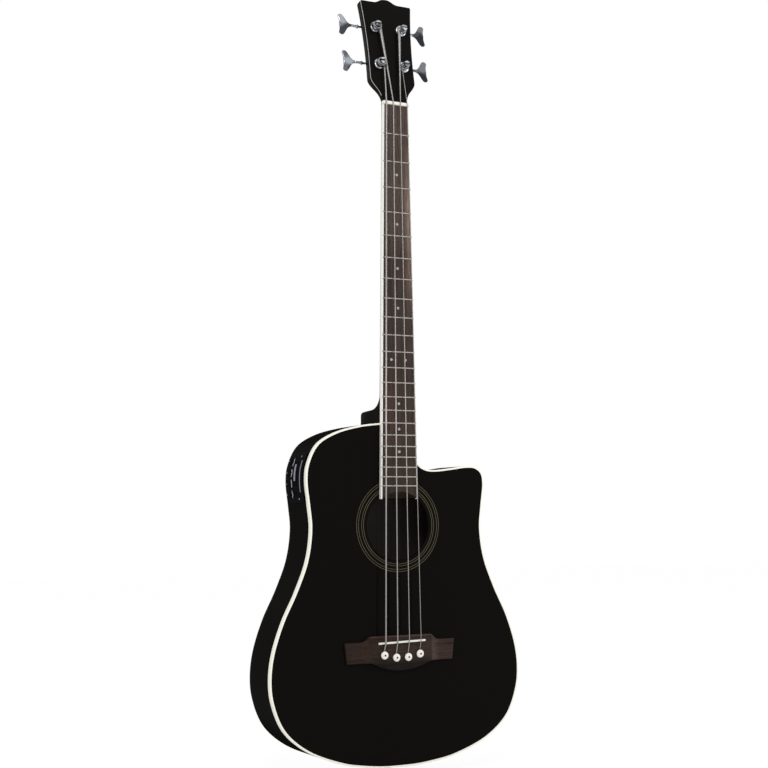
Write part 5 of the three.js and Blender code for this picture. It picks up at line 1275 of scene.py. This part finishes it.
class BASS_OT_strings(bpy.types.Operator):
    """Build the four wound strings: a run that stays with the body and a winding that turns with its post"""

    bl_idname = "bass.strings"
    bl_label = "Strings"

    def execute(self, context):
        settings = context.scene.bass_strings
        wound = winding(settings.colour, settings.pitch)
        for i, name in enumerate(STRINGS):
            run, radii = self.run(i)
            self.wire(f"string_{name}_run", run, radii, (1, 0, 0), wound, "instrument", [f"string_{name}"])
            coil = self.coil(i)
            self.wire(f"string_{name}_winding", coil, STRING_RADII[i], HEAD_OUT, wound, f"post_{name}", [])
        return {"FINISHED"}

    def wire(self, name, path, radii, reference, finish, body, replaces):
        """A tube with the distance along it stored for the wrap wire's pattern."""
        sides, distance = 16, run_along(path)
        shell = skin(tube(path, radii, reference, sides))
        along = np.concatenate([np.repeat(distance, sides), distance[[0, -1]]])
        piece(name, [shell], [finish], body=body, replaces=replaces, along=along)

    def run(self, i):
        """From the ball end up beside the pin, over saddle and nut, to the post's waist."""
        radius, ball_radius, ball_top = STRING_RADII[i], 2.8 * MM, 6.4 * MM
        x, pin_z = pin_place(i)
        beside = pin_z + 2.9 * MM + CLEARANCE + radius
        ball_z = pin_z + 2.4 * MM + CLEARANCE + ball_radius
        points = [
            *([x, ball_top + rise * MM, ball_z] for rise in (5, 0.02, -0.3)),
            [x, 0, beside], [x, 0.4 * radius - BRIDGE_HEIGHT, beside],
            [x, -SADDLE_CROWN - radius, SADDLE_Z + x * SADDLE_SLOPE],
            [(i - 1.5) * NUT_SPACING, -STRING_SEAT, NUT_WIDTH / 2], winding_start(i)[0],
        ]
        line = softened(points, np.array([0.01, 0.01, 0.5, 4, 1.5, 4]) * MM, 8)
        return line, np.where(line[:, 1] > ball_top + 0.001 * MM, ball_radius, radius)

    def coil(self, i):
        """A helix up the post's waist, which then bends in through the slot and ends past the centre."""
        across, up, side = POST_PLACES[STRINGS[i]]
        _, angle, radius, out = winding_start(i)
        direction = -side
        leaving, lead = np.radians(20), np.radians(18)
        slot_angle = 0 if direction > 0 else np.pi
        sweep = ((slot_angle - angle) * direction) % (2 * np.pi) + (WINDINGS[i] - 1) * 2 * np.pi - leaving
        to_slot = SLOT_FLOOR + CLEARANCE + STRING_RADII[i] - out
        rise = max(to_slot, (2 * STRING_RADII[i] + 0.6 * MM) * sweep / (2 * np.pi))
        turn = np.linspace(-lead, sweep, int(48 * sweep / (2 * np.pi)))
        at = angle + direction * turn
        height = out + rise * np.clip(turn / sweep, 0, 1)
        circle = grid(across + radius * np.cos(at), up + radius * np.sin(at), height)
        corner = np.array([across + direction * radius / np.cos(leaving), up, out + rise])
        inward = corner - [direction * radius * np.tan(leaving), 0, 0]
        end = [across - direction * 2.2 * MM, up, out + rise]
        return on_head(*np.vstack([circle, bezier([circle[-1], corner, inward], 8)[1:], [end]]).T)


def winding_start(i):
    """Where a string meets its post's waist: the tangent from the nut to the winding's circle."""
    across, up, side = POST_PLACES[STRINGS[i]]
    radius = POST_WAIST + CLEARANCE + STRING_RADII[i]
    away = np.array([(i - 1.5) * NUT_SPACING - across, NUT_WIDTH / 2 - up])
    angle = np.arctan2(away[1], away[0]) - side * np.arccos(radius / np.hypot(*away))
    out = 4 * MM + CLEARANCE + STRING_RADII[i]
    return on_head(across + radius * np.cos(angle), up + radius * np.sin(angle), out), angle, radius, out


class BASS_OT_preamp(bpy.types.Operator):
    """Build the control panel on the bass side with its knobs, buttons, display and marks"""

    bl_idname = "bass.preamp"
    bl_label = "Side preamp"

    def execute(self, context):
        settings = context.scene.bass_preamp
        plastic = moulded("preamp_plastic", settings.plastic_colour)
        soft = moulded("knob_plastic", tinted(settings.plastic_colour, 1.6), 0.5)
        ink = moulded("printed_marks", settings.print_colour, 0.5, 300.0)
        glass = screen(settings.screen_colour, settings.screen_glow)
        steel = polished("panel_steel", (0.2, 0.2, 0.22), 0.3)
        low, high = np.array(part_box("preamp_panel"))
        _, y, z = (low + high) / 2
        panel = rib_plate(y, z, *(high - low)[1:], 0.3 * MM, 2.3 * MM, 5 * MM, 0.6 * MM)
        piece("control_panel", [panel], [plastic], replaces=["preamp_panel"])
        knobs = [joint for joint in frame["joints"] if joint["name"].startswith("knob_")]
        for number, joint in enumerate(knobs, 1):
            turn = basis(np.array(joint["axis"]) * -np.sign(joint["axis"][0]))
            shells = [moved(shell, turn, joint["pos_m"]) for shell in self.knob()]
            piece(
                f"knob_{number}_cap", shells, [soft, ink], body=f"knob_{number}",
                replaces=[f"preamp_knob_{number}"],
            )
        piece("knob_scales", self.scales(knobs), [ink])
        for number in (1, 2):
            piece(
                f"button_{number}_cap", [self.button(number)], [soft], body=f"button_{number}",
                replaces=[f"preamp_button_{number}"],
            )
        piece("display", self.display(z + 8 * MM), [plastic, glass])
        trim = rib_plate(17.8 * MM, z + 2 * MM, 2.4 * MM, 46 * MM, PANEL_FACE, 2.75 * MM, 1 * MM, 0.25 * MM)
        piece("panel_trim", [trim], [steel])
        screws = []
        for height in (z + 31 * MM, z - 30.5 * MM):
            place = on_rib(25 * MM, height, PANEL_FACE)
            screws.append(moved(screw_head(1.7 * MM, 0.9 * MM), basis(rib_place(height)[1]), place))
        piece("panel_screws", screws, [steel])
        dress(plastic, "preamp_case")
        return {"FINISHED"}

    def knob(self):
        """A ribbed cap turned about its axis: the radius is the profile times a small cosine of the turn."""
        profile = softened(MM * np.array([
            [1.2, 0.3], [1.6, 0.3], [1.6, 2.6], [4.6, 2.6], [4.2, 6.4], [3.4, 7.2], [0.8, 7.0],
        ]), 0.35 * MM)
        rings = turned(profile, 96)
        ribs = np.clip((profile[:, 0] - 3.7 * MM) / (0.4 * MM), 0, 1)[:, None]
        swell = 1 - 0.045 * ribs * (0.5 + 0.5 * np.cos(16 * around(96)))
        rings[..., :2] *= swell[..., None]
        low = MM * np.array([[-0.35, 0.8, 6.9], [0.35, 0.8, 6.9], [0.35, 3.9, 6.9], [-0.35, 3.9, 6.9]])
        return [skin(rings), skin(np.array([low, low + [0, 0, 0.38 * MM]]))]

    def scales(self, knobs):
        """A fine line and seven ticks in front of each knob."""
        ticks = [(6.1, 7.9, turn - 0.06, turn + 0.06, 3) for turn in np.linspace(-0.8, 0.8, 7)]
        marks = [(5.3, 5.9, -0.8, 0.8, 17), *ticks]
        return [self.arc(joint["pos_m"], *mark) for joint in knobs for mark in marks]

    def arc(self, middle, near, far, start, end, count):
        """Part of a flat ring laid on the bent panel, a little proud of it: its radii turn from the front."""
        turn, radius = np.linspace(start, end, count)[:, None], np.array([near, far]) * MM
        places = middle[1] - radius * np.cos(turn), middle[2] + radius * np.sin(turn)
        return walled(on_rib(*places, 2.4 * MM), on_rib(*places, 2.2 * MM))

    def button(self, number):
        """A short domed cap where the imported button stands."""
        _, y, z = np.mean(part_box(f"preamp_button_{number}"), axis=0)
        corners = [[1.5, 1.2], [2.3, 1.2], [2.3, 3.1], [1.6, 3.4], [0.4, 3.45]]
        profile = softened(MM * np.array(corners), 0.3 * MM)
        return moved(skin(turned(profile, 40)), basis(rib_place(z)[1]), on_rib(y, z, 0))

    def display(self, z):
        """A raised frame round a narrow lit window."""
        y = 36.5 * MM
        raised = rib_plate(y, z, 15 * MM, 31 * MM, PANEL_FACE, 2.7 * MM, 1.6 * MM, 0.3 * MM)
        return [raised, rib_plate(y, z, 5.6 * MM, 24 * MM, 2.5 * MM, 2.8 * MM, 0.8 * MM, 0.15 * MM)]


def rib_place(z):
    """The bass side's outline at a height: the point in X and Z, and the direction out of the rib."""
    line = bass_side() * [-1, 1]
    out = unit(np.gradient(line, axis=0)[:, ::-1] * [-1, 1])
    upper = slice(np.searchsorted(line[:, 1], BODY_BOTTOM + 0.3 * BODY_LENGTH), None)
    x, out_x, out_z = (np.interp(z, line[upper, 1], values[upper]) for values in (line[:, 0], *out.T))
    return np.stack([x, z], -1), grid(out_x, 0, out_z)


def on_rib(y, z, out):
    """Places at a depth and a height on the bass rib, moved out of it by a distance."""
    point, normal = rib_place(z)
    return at_depth(point, y) + normal * np.asarray(out)[..., None]


def rib_plate(y, z, width, length, low, high, corner, edge):
    """A rounded plate bent onto the bass rib: a flat plate's depth is measured out of the curved side."""
    outline = rounded_rectangle(width, length, corner, 160)
    rings = plate(outline, -high, -low, edge, np.linspace(0.06, 0.94, 12), 4)
    return skin(on_rib(y + rings[..., 0], z + rings[..., 2], -rings[..., 1]))


class BASS_OT_end_pin(bpy.types.Operator):
    """Build the end pin with its output socket"""

    bl_idname = "bass.end_pin"
    bl_label = "End pin"

    def execute(self, context):
        """A profile of radius and height turned about the body's lower end."""
        chrome = polished("pin_chrome", context.scene.bass_tuners.chrome_colour, 0.12)
        face, seat = -14, 33
        profile = softened(MM * np.array([
            [3.2, face + 30], [3.3, face + 29.8], [3.3, face], [8.5, face], [8.5, face + 3],
            [5.6, face + 5.1], [5.6, -4.2], [8.5, -2.1], [8.5, 0], [6.2, 0], [6.2, seat], [6, seat + 0.2],
        ]), 0.5 * MM)
        profile[:, 1] = np.minimum(profile[:, 1], seat * MM)
        _, y, _ = np.mean(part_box("end_pin"), axis=0)
        shell = moved(skin(turned(profile, 64)), place=(0, y, BODY_BOTTOM - CLEARANCE))
        piece("turned_end_pin", [shell], [chrome], replaces=["end_pin"])
        return {"FINISHED"}


class BASS_OT_inside(bpy.types.Operator):
    """Give the wood and the fittings inside the body their materials"""

    bl_idname = "bass.inside"
    bl_label = "Inside"

    def execute(self, context):
        light, dark = (0.1, 0.075, 0.05), (0.06, 0.043, 0.028)
        mahogany = bare_wood("bare_mahogany", (0.1, 0.05, 0.03), (0.06, 0.028, 0.016), 2, 700.0)
        linings = [f"{face}_lining_{side}" for face in ("front", "back") for side in ("bass", "treble")]
        dress(mahogany, "neck_block", "tail_block", "bridge_plate", *linings)
        dress(bare_wood("bare_spruce", light, dark, 2), "x_brace")
        braces = [f"back_brace_{number}" for number in (1, 2, 3)]
        dress(bare_wood("cross_spruce", light, dark, 0), "upper_brace", *braces)
        dress(moulded("battery_case", (0.05, 0.05, 0.055), 0.35), "battery")
        return {"FINISHED"}


class BASS_OT_stage(bpy.types.Operator):
    """Set up the floor, the soft studio light and the camera at the photograph's angle"""

    bl_idname = "bass.stage"
    bl_label = "Stage"

    def execute(self, context):
        scene, settings = context.scene, context.scene.bass_stage
        self.floor(scene, settings.floor_colour)
        self.world(scene, settings.ambient)
        self.lamp(scene, "key_lamp", settings.key_power, 1.1, (-1.5, -2.2, 1.4))
        self.lamp(scene, "fill_lamp", settings.fill_power, 1.2, (2.5, -1.5, 0.3))
        self.camera(scene)
        scene.view_settings.view_transform = "Standard"
        return {"FINISHED"}

    def floor(self, scene, pale):
        """A plain sheet under the lowest point, nearly as pale to the camera as the background."""
        size, level = 8.0, CAD_BOX[0][2] - 0.2 * MM
        corners = [(x * size, y * size, level) for x, y in ((-1, -1), (1, -1), (1, 1), (-1, 1))]
        mesh = bpy.data.meshes.new("floor")
        mesh.from_pydata(corners, [], [(0, 1, 2, 3)])
        sheet = bpy.data.objects.new("floor", mesh)
        scene.collection.objects.link(sheet)
        finish = Finish("pale_floor", pale, 0.9, 0.0)
        finish.set("Base Color", finish.ramp(finish.noise(30, 2), shades(pale, (0.3, 0.99), (0.7, 1))))
        glow_strength, glow_share = 1.03, 0.92
        glow = finish.white("ShaderNodeEmission", glow_strength)
        share = finish.math("MULTIPLY", finish.seen(), glow_share)
        mix = finish.node("ShaderNodeMixShader", _0=share, _1=finish.shader.outputs[0], _2=glow)
        finish.links.new(mix.outputs[0], finish.nodes["Material Output"].inputs["Surface"])
        mesh.materials.append(finish.material)

    def world(self, scene, ambient):
        """Even light from all round; the camera, mirrors and glass see the plain white background."""
        scene.world = scene.world or bpy.data.worlds.new("studio")
        tree = Nodes(scene.world)
        tree.nodes.clear()
        soft, white = (tree.white("ShaderNodeBackground", strength) for strength in (ambient, 1.0))
        mix = tree.node("ShaderNodeMixShader", _0=tree.seen(), _1=soft, _2=white)
        tree.node("ShaderNodeOutputWorld", Surface=mix.outputs[0])

    def lamp(self, scene, name, power, size, place):
        """A square lamp that faces the middle of the instrument."""
        light = bpy.data.lights.new(name, "AREA")
        light.energy, light.size = power, size
        lamp = bpy.data.objects.new(name, light)
        scene.collection.objects.link(lamp)
        turn = basis(np.array(place) - [0, 0, -0.5])
        lamp.matrix_world = Matrix.Translation(place) @ Matrix(turn.tolist()).to_4x4()

    def camera(self, scene):
        """The camera fitted to the photograph's frets, outline, bridge and tuners."""
        lens = bpy.data.cameras.new("photo_camera")
        sensor, focal_pixels, picture_pixels = 36, 1460.3, 768
        lens.sensor_width, lens.lens = sensor, sensor * focal_pixels / picture_pixels
        lens.clip_start, lens.clip_end = 0.05, 60
        camera = bpy.data.objects.new("photo_camera", lens)
        scene.collection.objects.link(camera)
        right = (0.89215742, -0.45164234, -0.00862211)
        up = (-0.03406571, -0.08630036, 0.99568658)
        back = (-0.45043831, -0.88801545, -0.09237903)
        turn = Matrix((right, up, back)).transposed().to_4x4()
        camera.matrix_world = Matrix.Translation((-1.01529, -1.95893, -0.63504)) @ turn
        scene.camera = camera


class BASS_PT_panel(bpy.types.Panel):
    """Buttons that build the pieces, and their settings"""

    bl_idname = "BASS_PT_panel"
    bl_label = "Acoustic bass"
    bl_space_type = "VIEW_3D"
    bl_region_type = "UI"
    bl_category = "Bass"

    def draw(self, context):
        for operator, settings in STEPS:
            box = self.layout.box()
            box.operator(operator.bl_idname)
            group = getattr(context.scene, settings)
            for key in group.bl_rna.properties.keys():
                if key not in {"rna_type", "name"}:
                    box.prop(group, key)


GROUPS = {
    "bass_stage": StageSettings,
    "bass_body": BodySettings,
    "bass_rings": RingSettings,
    "bass_board": BoardSettings,
    "bass_tuners": TunerSettings,
    "bass_strings": StringSettings,
    "bass_preamp": PreampSettings,
}
STEPS = (
    (BASS_OT_stage, "bass_stage"),
    (BASS_OT_body, "bass_body"),
    (BASS_OT_rings, "bass_rings"),
    (BASS_OT_neck, "bass_body"),
    (BASS_OT_fingerboard, "bass_board"),
    (BASS_OT_bridge, "bass_board"),
    (BASS_OT_tuners, "bass_tuners"),
    (BASS_OT_strings, "bass_strings"),
    (BASS_OT_preamp, "bass_preamp"),
    (BASS_OT_end_pin, "bass_tuners"),
    (BASS_OT_inside, "bass_body"),
)
CLASSES = (*GROUPS.values(), *(step[0] for step in STEPS), BASS_PT_panel)


def register():
    """Adds the classes and the groups of settings."""
    for each in CLASSES:
        bpy.utils.register_class(each)
    for name, group in GROUPS.items():
        setattr(bpy.types.Scene, name, PointerProperty(type=group))


def unregister():
    """Takes the groups of settings and the classes away."""
    for name in GROUPS:
        delattr(bpy.types.Scene, name)
    for each in reversed(CLASSES):
        bpy.utils.unregister_class(each)


def main():
    """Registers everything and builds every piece."""
    register()
    for operator, _ in STEPS:
        group, name = operator.bl_idname.split(".")
        getattr(getattr(bpy.ops, group), name)()


if __name__ == "__main__":
    main()
